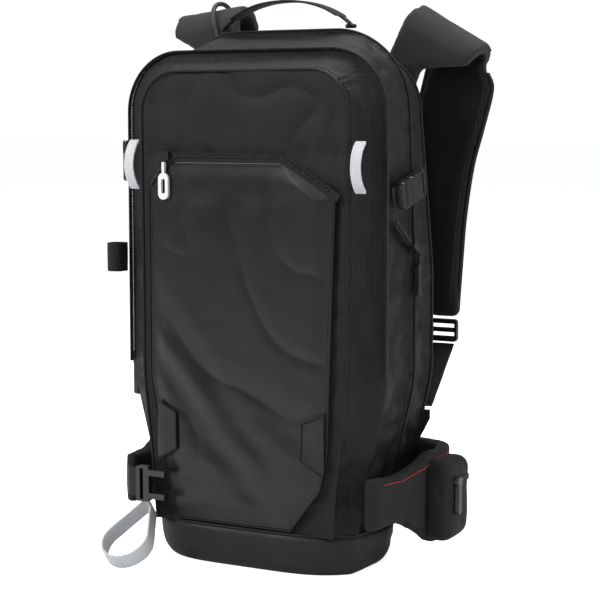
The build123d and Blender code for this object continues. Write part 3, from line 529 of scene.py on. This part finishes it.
def softened(name, nodes, materials, body, voxel, smooth=4, slot=None, shape=None, pick=None, swell=0.0):
    """Cloth version of CAD solids: even small faces, rounded edges, an optional swell and own shaping."""
    joined = bmesh.new()
    for node in nodes:
        joined.from_mesh(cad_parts[node].data)
    bmesh.ops.remove_doubles(joined, verts=joined.verts, dist=0.01 * MM)
    mesh = bpy.data.meshes.new(name)
    joined.to_mesh(mesh)
    joined.free()
    piece = add_piece(name, mesh, materials, body, nodes, slot)
    remesh = piece.modifiers.new("even_faces", "REMESH")
    remesh.mode = "VOXEL"
    remesh.voxel_size = voxel
    soft = piece.modifiers.new("soft_edges", "SMOOTH")
    soft.factor = 0.5
    soft.iterations = smooth
    settled(piece)
    if swell:
        inflate(piece, swell)
    if swell:
        finer = piece.modifiers.new("finer", "SUBSURF")
        finer.levels = finer.render_levels = 1
        settled(piece)
    if shape:
        normals = [v.normal.copy() for v in piece.data.vertices]
        for vertex, normal in zip(piece.data.vertices, normals):
            vertex.co = vertex.co + shape(vertex.co.copy(), normal)
    piece.data.materials.clear()
    for material in materials:
        piece.data.materials.append(material)
    piece.data.shade_smooth()
    if pick:
        for face in piece.data.polygons:
            face.material_index = pick(face.center, face.normal)
    return piece


def inflate(piece, cap):
    """Cloth under pressure, with each point held within cap of where it began."""
    before = [v.co.copy() for v in piece.data.vertices]
    cloth = piece.modifiers.new("cloth", "CLOTH")
    cloth.settings.use_pressure = True
    cloth.settings.uniform_pressure_force = 4.0
    cloth.settings.effector_weights.gravity = 0.0
    cloth.settings.quality = 4
    scene = bpy.context.scene
    for step in range(1, 21):
        scene.frame_set(step)
    settled(piece)
    scene.frame_set(1)
    for vertex, old in zip(piece.data.vertices, before):
        move = vertex.co - old
        if move.length > cap:
            vertex.co = old + move.normalized() * cap


def refinish(nodes, material, edge=0.35 * MM):
    """Hard CAD nodes keep their shape and get a finished material and eased edges."""
    for node in nodes:
        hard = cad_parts[node]
        hard.data.materials.clear()
        hard.data.materials.append(material)
        weld = hard.modifiers.new("weld", "WELD")
        weld.merge_threshold = 0.01 * MM
        if edge:
            ease_edges = hard.modifiers.new("eased_edges", "BEVEL")
            ease_edges.width = edge
            ease_edges.segments = 2
            ease_edges.limit_method = "ANGLE"
            ease_edges.angle_limit = math.radians(38)
            ease_edges.harden_normals = True


# ------------------------------------------------------------ the bag's own surface
LINES = (piping_line, zip_line, seam_line, rear_line)


def section_point(line, s):
    """Front-view point of an outline; s runs from -1 at the left foot over the top to 1."""
    depth, halves, top = line
    place, side = abs(s), 1 if s >= 0 else -1
    radius = top - shoulder
    half = halves[-1]
    if place < 0.25:
        return side * (half - radius) * place / 0.25, top
    if place < 0.5:
        turn = (place - 0.25) / 0.25 * math.pi / 2
        return side * (half - radius + radius * math.sin(turn)), shoulder + radius * math.cos(turn)
    z = lerp(shoulder, base_top, (place - 0.5) / 0.5)
    return side * soft_table(z, list(zip(heights, halves)), 14 * MM), z


def bag_place(depth, s):
    """Point of the smooth bag at a depth, its outward direction, and its nearness to a seam line."""
    pair = next((p for p in zip(LINES, LINES[1:]) if depth <= p[1][0]), (LINES[-2], LINES[-1]))
    t = (depth - pair[0][0]) / (pair[1][0] - pair[0][0])
    corners = []
    for way in (s - 0.006, s, s + 0.006):
        (x0, z0), (x1, z1) = section_point(pair[0], way), section_point(pair[1], way)
        corners.append((lerp(x0, x1, t), lerp(z0, z1, t)))
    dx, dz = corners[2][0] - corners[0][0], corners[2][1] - corners[0][1]
    out = Vector((-dz, 0, dx)).normalized()
    margin = min(depth - pair[0][0], pair[1][0] - depth)
    return Vector((corners[1][0], depth, corners[1][1])), out, margin


def gusset_dent(point, s, margin):
    """How far the cloth lies inside the smooth bag: gathers at the seams and soft folds between."""
    gathers = (0.5 + 0.5 * ripple(s * 95, point.y * 30, 3.0)) ** 1.5
    near = math.exp(-margin / (12 * MM)) * ease(margin / (2.5 * MM))
    folds = ripple(point.y * 26 + point.z * 9 + point.x * 5, point.z * 34 - point.y * 8, 7.0)
    ridge = (1 - abs(folds)) ** 3
    low = table(point.z, [(0.20, 1.0), (0.33, 0.75), (0.42, 0.35), (0.50, 0.5)])
    sag = 3.0 * math.sin(math.pi * clamp(margin / (33 * MM)) / 2)
    cross = (1 - abs(ripple(point.z * 48, point.y * 14 + point.z * 9, 11.0))) ** 4
    cross = cross * table(point.z, [(0.06, 1.0), (0.2, 0.3)])
    inner = ease(margin / (10 * MM))
    return -(3.8 * gathers * near + 7.0 * ridge * low * inner + 4.2 * cross * inner + 0.3 * sag) * MM


def bag_point(depth, s, lift=0.0):
    point, out, margin = bag_place(depth, s)
    return point + out * (gusset_dent(point, s, margin) + lift)


def bag_loft(name, line_a, line_b, node, across, material, slot, keep=None):
    rows = []
    for k in range(across + 1):
        depth = lerp(line_a[0], line_b[0], k / across)
        rows.append([bag_point(depth, -1 + 2 * c / 300) for c in range(301)])
    piece = loft(name, rows, [material], keep=keep, stands_for=[node], slot=slot)
    return piece


def half_at(line, z):
    """Half width of an outline at a height."""
    radius = line[2] - shoulder
    if z <= shoulder:
        return soft_table(z, list(zip(heights, line[1])), 14 * MM)
    return line[1][-1] - radius + math.sqrt(max(radius**2 - (z - shoulder) ** 2, 0))


def face_of(line, crown, dent, columns=90, rows=120):
    """Points of a flat end of the bag, crowned by so much towards -Y when positive."""
    grid = []
    for r in range(rows + 1):
        rise = 1 - (1 - r / rows) ** 1.35
        z = lerp(base_top, line[2], rise)
        half = half_at(line, z)
        row = []
        for c in range(columns + 1):
            u = -1 + 2 * c / columns
            u = math.sin(u * math.pi / 2) * 0.5 + u * 0.5
            round_off = (1 - u**4) * clamp((line[2] - z) / (25 * MM)) ** 0.5
            y = line[0] - crown * round_off + dent(u * half, z) * ease((1 - abs(u)) * 8)
            row.append(Vector((u * half, y, z)))
        grid.append(row)
    return grid


# ------------------------------------------------------------ the bag
def front_dent(x, z):
    wave = (1 - abs(ripple(x * 16 + z * 10, z * 22 - x * 6, 1.5))) ** 4
    pucker = 0.5 + 0.5 * math.sin(x / MM / 3.4 + 2 * ripple(x * 30, 0))
    pull = math.exp(-(((z / MM - 418) / 9) ** 2)) * pucker
    low_folds = (1 - abs(ripple(x * 9, z * 62, 6.0))) ** 3 * clamp((0.13 - z) / 0.05) * 3.4
    sides = (1 - abs(ripple(x * 20, z * 26, 8.0))) ** 4 * clamp((abs(x) - 0.095) / 0.01) * 1.6
    return (3.4 * wave * clamp((z - 0.40) / 0.02) + 1.5 * pull + 1.4 * low_folds + 1.6 * sides) * MM


bag_loft("front_gusset", piping_line, zip_line, "front_shell", 22, ripstop_cloth, "ripstop")
bag_loft("main_gusset", zip_line, seam_line, "main_shell", 44, ripstop_cloth, "ripstop")


def outside_window(middle):
    return not (abs(middle.x) < 44 * MM and 33 * MM < middle.y < 52 * MM and middle.z > shoulder)


bag_loft("rear_gusset", seam_line, rear_line, "rear_shell", 36, ripstop_cloth, "ripstop", outside_window)
front_grid = face_of(piping_line, 2.4 * MM, front_dent)
front_cloth = loft("front_face", front_grid, [ripstop_cloth], slot="ripstop")
loft("rear_wall", face_of(rear_line, 0.0, lambda x, z: 0.0, 20, 30), [base_cloth], slot="coated_base")


# Coated base: a shallow bucket whose foot curves in to a flat bottom.
def base_ring(z):
    """Rounded plan outline of the base at a height, drawn in towards the foot."""
    pull = (1 - math.sqrt(1 - clamp(1 - z / base_top) ** 2.2)) * 13 * MM
    side = [(line[0], line[1][0] + 0.8 * MM) for line in LINES]
    ring = []
    front, back = front_face - 0.3 * MM, rear_face
    for k in range(120):
        turn = 2 * math.pi * k / 120
        c, s = math.cos(turn), math.sin(turn)
        y = (front + back) / 2 + (back - front) / 2 * (abs(s) ** 0.42) * (1 if s > 0 else -1)
        half = table(y, side)
        x = half * (abs(c) ** 0.42) * (1 if c > 0 else -1)
        shrink = 1 - 0.9 * pull / (75 * MM)
        ring.append(Vector((x * (1 - pull / half), lerp((front + back) / 2, y, shrink), z)))
    return ring


levels = [0, 0.6, 2, 5, 9, 14, 20, 27, 34, 42, 44]
base_rows = [base_ring(z * MM if z < 44 else base_top) for z in levels]
for level, row in zip(levels, base_rows):
    for point in row:
        fold = (1 - abs(ripple(point.x * 9, point.y * 9, point.z * 55))) ** 4
        inward = Vector((point.x, point.y, 0)).normalized()
        point -= inward * fold * 1.6 * MM * clamp(level / 12)
bucket = loft(
    "base_bucket", base_rows, [base_cloth], closed=True, capped=True, stands_for=["base_panel"], slot="coated_base"
)

# Piping along the front edge, binding on the top seam, and rows of stitches beside both.
around = [-1 + 2 * k / 400 for k in range(401)]


def seam_path(depth, lift):
    path = []
    for s in around:
        point, out, margin = bag_place(depth, s)
        path.append((point + out * (gusset_dent(point, s, margin) + lift), out))
    return path


tube("front_piping", [p for p, out in seam_path(piping_line[0], 0.3 * MM)], 1.7 * MM, piping_cloth)
tube("seam_piping", [p for p, out in seam_path(seam_depth, 0.2 * MM)], 1.2 * MM, piping_cloth)
tube("rear_piping", [p for p, out in seam_path(rear_face, 0.0)], 1.5 * MM, piping_cloth)
stitches("front_piping_stitches", seam_path(piping_line[0] + 5 * MM, 0.3 * MM))
stitches("seam_stitches", seam_path(seam_depth - 4 * MM, 0.3 * MM))
stitches("seam_stitches_rear", seam_path(seam_depth + 4 * MM, 0.3 * MM))
stitches("zip_stitches", seam_path(zip_depth + 7 * MM, 0.3 * MM))

# Piping where the coated base meets the bag.
ring_low = [(base_rows[-1][k] + Vector((0, 0, 0.4 * MM)), Vector((0, 0, 1))) for k in range(120)]
tube("base_piping", [p for p, out in ring_low], 1.4 * MM, piping_cloth, closed=True)


# Satin panel: hangs a little loose on the front, with drape folds running from its left seam.
PANEL_LEFT = [(46, -75), (120, -94), (190, -107), (383, -107), (402, -91), (411, -75)]
PANEL_RIGHT = [(46, 57), (90, 91), (130, 99), (375, 107), (390, 84), (405, 59), (411, 45)]
panel_low, panel_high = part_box("front_panel")


def drape(x, z):
    """Depth of the panel's surface in front of the bag, in metres."""
    from_left = clamp((x / MM + 107) / 214)
    slant = (z / MM - 236) + (x / MM + 107) * 1.15
    sweep = math.exp(-((slant / 62) ** 2)) * (1 - from_left) ** 0.7
    pleats = math.sin(slant / 11 + 1.3 * ripple(x * 14, z * 9)) * sweep * 1.6
    lower = ripple(x * 5 + 4, z * 34 + x * 16, 2.0) * clamp((230 - z / MM) / 120) * 1.7
    broad = ripple(x * 7, z * 5, 9.0) * 2.2
    creases = -((1 - abs(ripple(x * 7 - z * 5, z * 11 + x * 9, 5.0))) ** 9) * 1.3
    fine = ripple(x * 60, z * 60, 4.0) * 0.18
    beside = max(-87 - x / MM, x / MM - 33, 0)  # the zip pull's travel, left flat for it
    calm = 1 - 0.9 * math.exp(-(beside**2 + (z / MM - 390) ** 2) / 26**2)
    return (3.2 * calm + (pleats + lower + 0.6 * broad + 0.8 * creases) * 1.15 * calm + fine) * MM


def panel_depth(x, z, edge):
    bulge = 1.6 * MM * clamp(1 - (x / (112 * MM)) ** 4)
    return panel_low.y + 1.2 * MM - (drape(x, z) + bulge) * ease(edge / (22 * MM))


panel_rows = []
for r in range(171):
    z = lerp(panel_low.z, panel_high.z, r / 170)
    left = soft_table(z / MM, PANEL_LEFT, 2) * MM
    right = soft_table(z / MM, PANEL_RIGHT, 2) * MM
    row = []
    for c in range(121):
        x = lerp(left, right, c / 120)
        edge = min(x - left, right - x, z - panel_low.z, panel_high.z - z)
        row.append(Vector((x, panel_depth(x, z, max(edge, 0)), z)))
    panel_rows.append(row)
panel = loft("satin_panel", panel_rows, [tarpaulin], stands_for=["front_panel"], slot="tarpaulin")
thick = panel.modifiers.new("thickness", "SOLIDIFY")
thick.thickness = 1.0 * MM
thick.offset = -1
settled(panel)
outline = (
    [row[0] for row in panel_rows]
    + panel_rows[-1][1:-1]
    + [row[-1] for row in reversed(panel_rows)]
    + list(reversed(panel_rows[0]))[1:-1]
)
FORWARD = Vector((0, -1, 0))
middle = Vector((0, 0, 230 * MM))


def panel_ring(inset, lift):
    path = []
    for point in outline:
        toward = Vector((middle.x - point.x, 0, middle.z - point.z)).normalized()
        spot = point + toward * inset
        path.append((Vector((spot.x, panel_depth(spot.x, spot.z, inset) - lift, spot.z)), FORWARD))
    return path


tube("panel_edge", [p for p, out in panel_ring(0.0, 0.2 * MM)], 0.9 * MM, piping_cloth, closed=True)
stitches("panel_stitches", panel_ring(4 * MM, 0.2 * MM))


# ------------------------------------------------------------ cloth pieces from their CAD solids
def crumple(amount, size):
    """Shaping that moves points along their normals in uneven soft folds."""
    def move(point, normal):
        wave = ripple(point.x * size, point.y * size + 3, point.z * size)
        crease = (1 - abs(ripple(point.x * size * 0.7, point.y * size, point.z * size * 0.6 + 5))) ** 5
        return normal * (wave * 0.5 - crease) * amount
    return move


def tape(name, node, material, body, voxel=0.9 * MM, slot="black_webbing", amount=0.25 * MM):
    piece = softened(name, [node], [material], body, voxel, 2, slot, crumple(amount, 60))
    return piece


tape("haul_handle", "haul_loop", black_tape, "haul_loop")
tape("upper_loops", "upper_ski_loops", white_tape, "root", slot="white_webbing")
tape("lower_loop", "lower_ski_loop", white_tape, "lower_ski_loop", slot="white_webbing")
tape("tool_elastic", "tool_loop", black_tape, "root")
tape("compression_straps", "side_straps", black_tape, "root")

# Shoulder straps: foam between woven cloth and mesh.
fold_axis_y = (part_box("shoulder_strap_right")[0].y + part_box("shoulder_strap_right")[1].y) / 2


def strap_side(centre, normal):
    """0 for the cloth outside, 1 for the mesh towards the wearer."""
    toward_axis = Vector((0, fold_axis_y - centre.y, 0))
    if centre.z > 0.545:
        toward_axis = Vector((0, fold_axis_y - centre.y, 0.53 - centre.z))
    if toward_axis.length == 0:
        return 0
    return 1 if normal.dot(toward_axis.normalized()) > 0.35 else 0


def wing_side(centre, normal):
    """0 for the cloth outside, 1 for the mesh towards the wearer."""
    inward = normal.dot(Vector((centre.x, centre.y - 0.03, 0))) < 0
    return 1 if centre.y > 0.02 and inward else 0


for side in ("right", "left"):
    strap = softened(
        "shoulder_pad_" + side, ["shoulder_strap_" + side], [strap_cloth, mesh_cloth], "root",
        3.6 * MM, 3, "strap_fabric", crumple(0.7 * MM, 26), strap_side, 2.2 * MM,
    )
    wing = softened(
        "hip_pad_" + side, ["hip_wing_" + side], [belt_cloth, mesh_cloth], "hip_wing_" + side,
        3.6 * MM, 3, "strap_fabric", crumple(0.7 * MM, 30), wing_side, 2.4 * MM,
    )


# Back panel: two padded ridges beside an air channel, with cross channels sewn in.
def back_channels(point, normal):
    channel = min(abs(point.z - z * MM) for z in (150, 235, 320, 400))
    groove = math.exp(-((channel / (6 * MM)) ** 2)) * 3.2 * MM
    facing = clamp(normal.y)
    return Vector((0, -groove * facing, 0)) + normal * 0.4 * MM * ripple(point.x * 24, point.z * 24)


back = softened(
    "back_pad", ["back_panel"], [mesh_cloth],
    "root", 4.2 * MM, 3, "back_foam", back_channels, None, 2.5 * MM,
)

pocket = softened(
    "belt_pocket", ["hip_pocket"], [belt_cloth],
    "hip_wing_right", 3.2 * MM, 5, "ripstop", crumple(1.4 * MM, 30), None, 2.0 * MM,
)
flap = softened(
    "flap_cloth", ["airbag_flap"], [ripstop_cloth],
    "airbag_flap", 1.1 * MM, 2, "ripstop", crumple(0.3 * MM, 40),
)
airbag = softened(
    "airbag_roll", ["folded_airbag"], [airbag_cloth],
    "root", 2.6 * MM, 4, "airbag_cloth", crumple(3.5 * MM, 38),
)


def lie_on_panel(point, normal):
    reach = min(point.x + 107 * MM, 107 * MM - point.x)
    return Vector((0, panel_depth(point.x, point.z, max(reach, 0)) - panel_low.y - 1.4 * MM, 0))


softened("welded_patches", ["hex_patches"], [patch_film], "root", 0.7 * MM, 1, "tarpaulin", lie_on_panel)
for side, sign in (("right", 1), ("left", -1)):
    rim = []
    for a, b in zip(((97, 166), (73, 156), (72, 119)), ((73, 156), (72, 119), (94, 106))):
        for k in range(13):
            x, z = sign * lerp(a[0], b[0], k / 12) * MM, lerp(a[1], b[1], k / 12) * MM
            rim.append(Vector((x, panel_depth(x, z, 107 * MM - abs(x)) - 2.2 * MM, z)))
    tube("patch_rim_" + side, rim, 1.1 * MM, piping_cloth)
tape("waist_strap_right", "hip_webbing_right", black_tape, "hip_wing_right")
tape("waist_strap_left", "hip_webbing_left", black_tape, "hip_wing_left")
tape("chest_strap_right", "sternum_strap_right", black_tape, "sternum_right")
tape("chest_strap_left", "sternum_strap_left", black_tape, "sternum_left")
tape("lower_straps", "strap_webbing", black_tape, "root")
softened(
    "anchor_tabs", ["strap_anchors"], [black_tape],
    "root", 0.9 * MM, 2, "black_webbing", crumple(0.2 * MM, 60),
)
sleeve = softened(
    "sleeve_cloth", ["hydration_sleeve"], [sleeve_cloth],
    "root", 1.2 * MM, 2, "ripstop", crumple(0.8 * MM, 30),
)
divider = softened(
    "divider_cloth", ["pocket_divider"], [sleeve_cloth],
    "root", 1.2 * MM, 2, "ripstop", crumple(0.8 * MM, 24),
)


# ------------------------------------------------------------ stitching, binding, tapes and zip teeth
def on_surface(piece, spots, toward):
    """Where straight lines through the spots first meet the piece, with the outward direction there."""
    mesh = piece.data
    tree = BVHTree.FromPolygons([v.co for v in mesh.vertices], [p.vertices for p in mesh.polygons])
    path = []
    for spot in spots:
        place, normal, face, reach = tree.ray_cast(spot - toward * 0.15, toward)
        if place:
            path.append((place, -toward if normal.dot(toward) > 0 else normal))
    return path


def curve_through(points, steps=10):
    """Smooth line through a few points."""
    dense = []
    ends = [points[0] * 2 - points[1], *points, points[-1] * 2 - points[-2]]
    for a, b, c, d in zip(ends, ends[1:], ends[2:], ends[3:]):
        for k in range(steps):
            t = k / steps
            squared, cubed = 2 * a - 5 * b + 4 * c - d, 3 * b - a - 3 * c + d
            dense.append(0.5 * (2 * b + (c - a) * t + squared * t**2 + cubed * t**3))
    return [*dense, points[-1]]


# Outline of a tape's cross-section: across from -1 to 1, and height in thicknesses.
TAPE_SECTION = (
    (-1, 0.1), (-0.97, 1), (-0.8, 1.1), (-0.7, 0.85), (0, 0.8),
    (0.7, 0.85), (0.8, 1.1), (0.97, 1), (1, 0.1), (0, -0.2),
)


def flat_tape(name, path, width, thick, material, body="root", slot="black_webbing"):
    """Webbing laid along a path of (point, outward), with thicker edges."""
    rows = []
    for k, (point, out) in enumerate(path):
        ahead = path[min(k + 1, len(path) - 1)][0] - path[max(k - 1, 0)][0]
        across = out.cross(ahead).normalized()
        ring = []
        for u, v in TAPE_SECTION:
            ring.append(point + across * u * width / 2 + out * v * thick)
        rows.append(ring)
    return loft(name, rows, [material], closed=True, capped=True, body=body, slot=slot)


def strap_lines(sign, inset):
    """Two lines down the hanging run of a shoulder strap, that far inside its edges."""
    outer = [(176, 500), (181, 483), (171, 443), (160, 403), (152, 350), (148, 300), (145, 258)]
    inner = [(108, 535), (108, 515), (98, 473), (86, 418), (84, 353), (96, 290), (111, 256)]
    lines = []
    for points, way in ((outer, -1), (inner, 1)):
        spots = []
        for x, z in points:
            spots.append(Vector((sign * (x + way * inset) * MM, strap_middle, (z - 543) * MM + bag_top)))
        lines.append(curve_through(spots))
    return lines


strap_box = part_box("shoulder_strap_right")
strap_middle = strap_box[1].y - 6 * MM
BACKWARD = Vector((0, 1, 0))
for side, sign in (("right", 1), ("left", -1)):
    pad = bpy.data.objects["shoulder_pad_" + side]
    for count, line in enumerate(strap_lines(sign, 1.0)):
        tube(f"strap_binding_{side}_{count}", line, 2.6 * MM, piping_cloth)
    for count, line in enumerate(strap_lines(sign, 7.0)):
        stitches(f"strap_stitches_{side}_{count}", on_surface(pad, line, FORWARD))
        stitches(f"strap_inner_stitches_{side}_{count}", on_surface(pad, line, BACKWARD))
    outer, inner = strap_lines(sign, 0.0)
    middle_line = [a.lerp(b, 0.5) for a, b in zip(outer, inner)]
    path = on_surface(pad, middle_line[6:], FORWARD)
    flat_tape("strap_tape_" + side, path, 20 * MM, 1.4 * MM, black_tape)
    edge = [(p + out.cross(Vector((0, 0, 1))) * 8 * MM + out * 1.3 * MM, out) for p, out in path]
    stitches("strap_tape_stitches_" + side, edge)
    over_tape = [(p + out * 1.6 * MM, out) for p, out in path]
    bars("strap_tacks_" + side, over_tape, 46 * MM, (2.4 * MM, 17 * MM, 1.0 * MM), thread_dark)

for side, sign in (("right", 1), ("left", -1)):
    pad = bpy.data.objects["hip_pad_" + side]
    body = "hip_wing_" + side
    for count, (rear_z, front_z) in enumerate(((30, 61), (71, 79.5), (112, 98))):
        spots = []
        for k in range(60):
            y = lerp(-58 * MM, 66 * MM, k / 59)
            level = clamp((y / MM + 30) / 60)
            spots.append(Vector((sign * 150 * MM, y, lerp(front_z, rear_z, level) * MM)))
        thread = thread_red if count == 2 else thread_dark
        path = [(p + out * 0.2 * MM, out) for p, out in on_surface(pad, spots, Vector((-sign, 0, 0)))]
        stitches(f"hip_stitches_{side}_{count}", path, thread, body)


def zip_teeth(name, path):
    size = (0.85 * MM, 2.7 * MM, 1.3 * MM)
    return bars(name, path, 1.5 * MM, size, acetal, "root", 1.3 * MM / 2, 0.4 * MM)


zip_y = sum(c.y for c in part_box("main_zip")) / 2
ring_path = []
for s in around:
    point, out, margin = bag_place(zip_y, s)
    if point.z > 0.2:
        ring_path.append((point + out * 1.6 * MM, out))
zip_teeth("main_zip_teeth", ring_path)
panel_top_line = [(-104, 384), (-90, 403), (-74, 412.5), (45, 412.5), (59, 406), (104, 378)]
zip_spots = [Vector((x * MM, front_face, (z + 3.5 - 543) * MM + bag_top)) for x, z in panel_top_line]
zip_line_front = []
for a, b in zip(zip_spots, zip_spots[1:]):
    zip_line_front += [(a.lerp(b, k / 12), FORWARD) for k in range(12)]
zip_teeth("front_zip_teeth", [(p + out * 1.9 * MM, out) for p, out in zip_line_front])
left_low, left_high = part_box("left_zip")
left_middle = (left_low.y + left_high.y) / 2
left_path = []
for k in range(21):
    spot = Vector((left_low.x - 0.2 * MM, left_middle, lerp(left_low.z, left_high.z, k / 20)))
    left_path.append((spot, Vector((-1, 0, 0))))
zip_teeth("left_zip_teeth", left_path)
side_low, side_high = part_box("side_zip")
side_path = []
for k in range(21):
    t = k / 20
    along_y, along_z = lerp(side_low.y, side_high.y, t), lerp(side_high.z, side_low.z, t)
    side_path.append((Vector((side_high.x + 0.1 * MM, along_y, along_z)), Vector((1, 0, 0))))
zip_teeth("side_zip_teeth", side_path)

# ------------------------------------------------------------ hard pieces keep their CAD shapes
refinish(["main_zip", "front_zip", "side_zip", "left_zip", "hip_pocket_zip"], black_tape, 0)
sliders = [name + "_slider" for name in ("main_zip", "front_zip", "side_zip", "left_zip", "hip_pocket")]
refinish(sliders, enamel)
refinish(["front_zip_pull"], white_rubber)
refinish(["side_zip_pull"], rubber)
refinish(["side_buckle_male", "side_buckle_female_right", "side_buckle_female_left"], acetal)
refinish(["ladder_lock_right", "ladder_lock_left", "sternum_slider_right", "sternum_slider_left"], acetal)
refinish(["sternum_socket", "sternum_plug", "hip_buckle_female", "hip_buckle_male"], acetal)
refinish(["trigger_housing"], acetal)
refinish(["trigger_handle"], trigger_plastic, 0.8 * MM)
refinish(["trigger_cable"], hose_rubber, 0)
refinish(["inflator_hose"], hose_rubber, 0)
refinish(["frame_sheet"], sheet_plastic)
refinish(["frame_stays", "firing_lever", "firing_pin"], brushed, 0.2 * MM)
refinish(["inflator_body"], brushed)
refinish(["gas_cylinder"], cylinder_paint, 0)


# ------------------------------------------------------------ light, floor and camera
scene = bpy.context.scene
scene.view_settings.view_transform = "Standard"
world = bpy.data.worlds.new("studio")
scene.world = world
world.use_nodes = True
sky = world.node_tree
background = sky.nodes["Background"]
background.inputs[0].default_value = (0.96, 0.98, 1.0, 1)
seen = sky.nodes.new("ShaderNodeLightPath")
brightness = sky.nodes.new("ShaderNodeMapRange")
brightness.inputs["To Min"].default_value = 0.2
brightness.inputs["To Max"].default_value = 1.05
sky.links.new(seen.outputs["Is Camera Ray"], brightness.inputs["Value"])
sky.links.new(brightness.outputs[0], background.inputs[1])

floor_mesh = bpy.data.meshes.new("floor")
reach = 30
floor_corners = [(x * reach, y * reach, 0) for x, y in ((-1, -1), (1, -1), (1, 1), (-1, 1))]
floor_mesh.from_pydata(floor_corners, [], [(0, 1, 2, 3)])
floor_paint, floor_tree, floor_shader = start_material("floor_paint", 0.7)
floor_shader.inputs["Base Color"].default_value = (0.86, 0.87, 0.88, 1)
floor_shader.inputs["Emission Color"].default_value = (0.97, 0.98, 1.0, 1)
floor_rays = floor_tree.nodes.new("ShaderNodeLightPath")
glow = maths(floor_tree, "MULTIPLY", floor_rays.outputs["Is Camera Ray"], 0.84)
floor_tree.links.new(glow, floor_shader.inputs["Emission Strength"])
floor_mesh.materials.append(floor_paint)
floor = bpy.data.objects.new("floor", floor_mesh)
scene.collection.objects.link(floor)


def soft_light(name, place, aim, size, power):
    light = bpy.data.lights.new(name, "AREA")
    light.shape = "RECTANGLE"
    light.size, light.size_y = size
    light.energy = power
    lamp = bpy.data.objects.new(name, light)
    lamp.location = place
    lamp.rotation_euler = (Vector(aim) - Vector(place)).to_track_quat("-Z", "Y").to_euler()
    scene.collection.objects.link(lamp)


soft_light("key", (-1.25, -1.5, 1.7), (0, 0, 0.35), (0.7, 0.9), 44)
soft_light("front", (1.0, -2.4, 1.5), (0, 0, 0.3), (0.5, 0.9), 12)
soft_light("side", (2.4, 0.5, 1.0), (0, 0, 0.35), (0.6, 1.8), 24)
soft_light("top", (0.1, 0.3, 2.0), (0, 0, 0.3), (1.4, 1.0), 30)

lens = bpy.data.cameras.new("camera")
lens.lens, lens.sensor_width = 105, 36
camera = bpy.data.objects.new("camera", lens)
camera.location = (0.901, -1.5605, 0.452)
camera.rotation_euler = (math.radians(90 - 5.87), 0, math.radians(30 - 0.65))
scene.collection.objects.link(camera)
scene.camera = camera
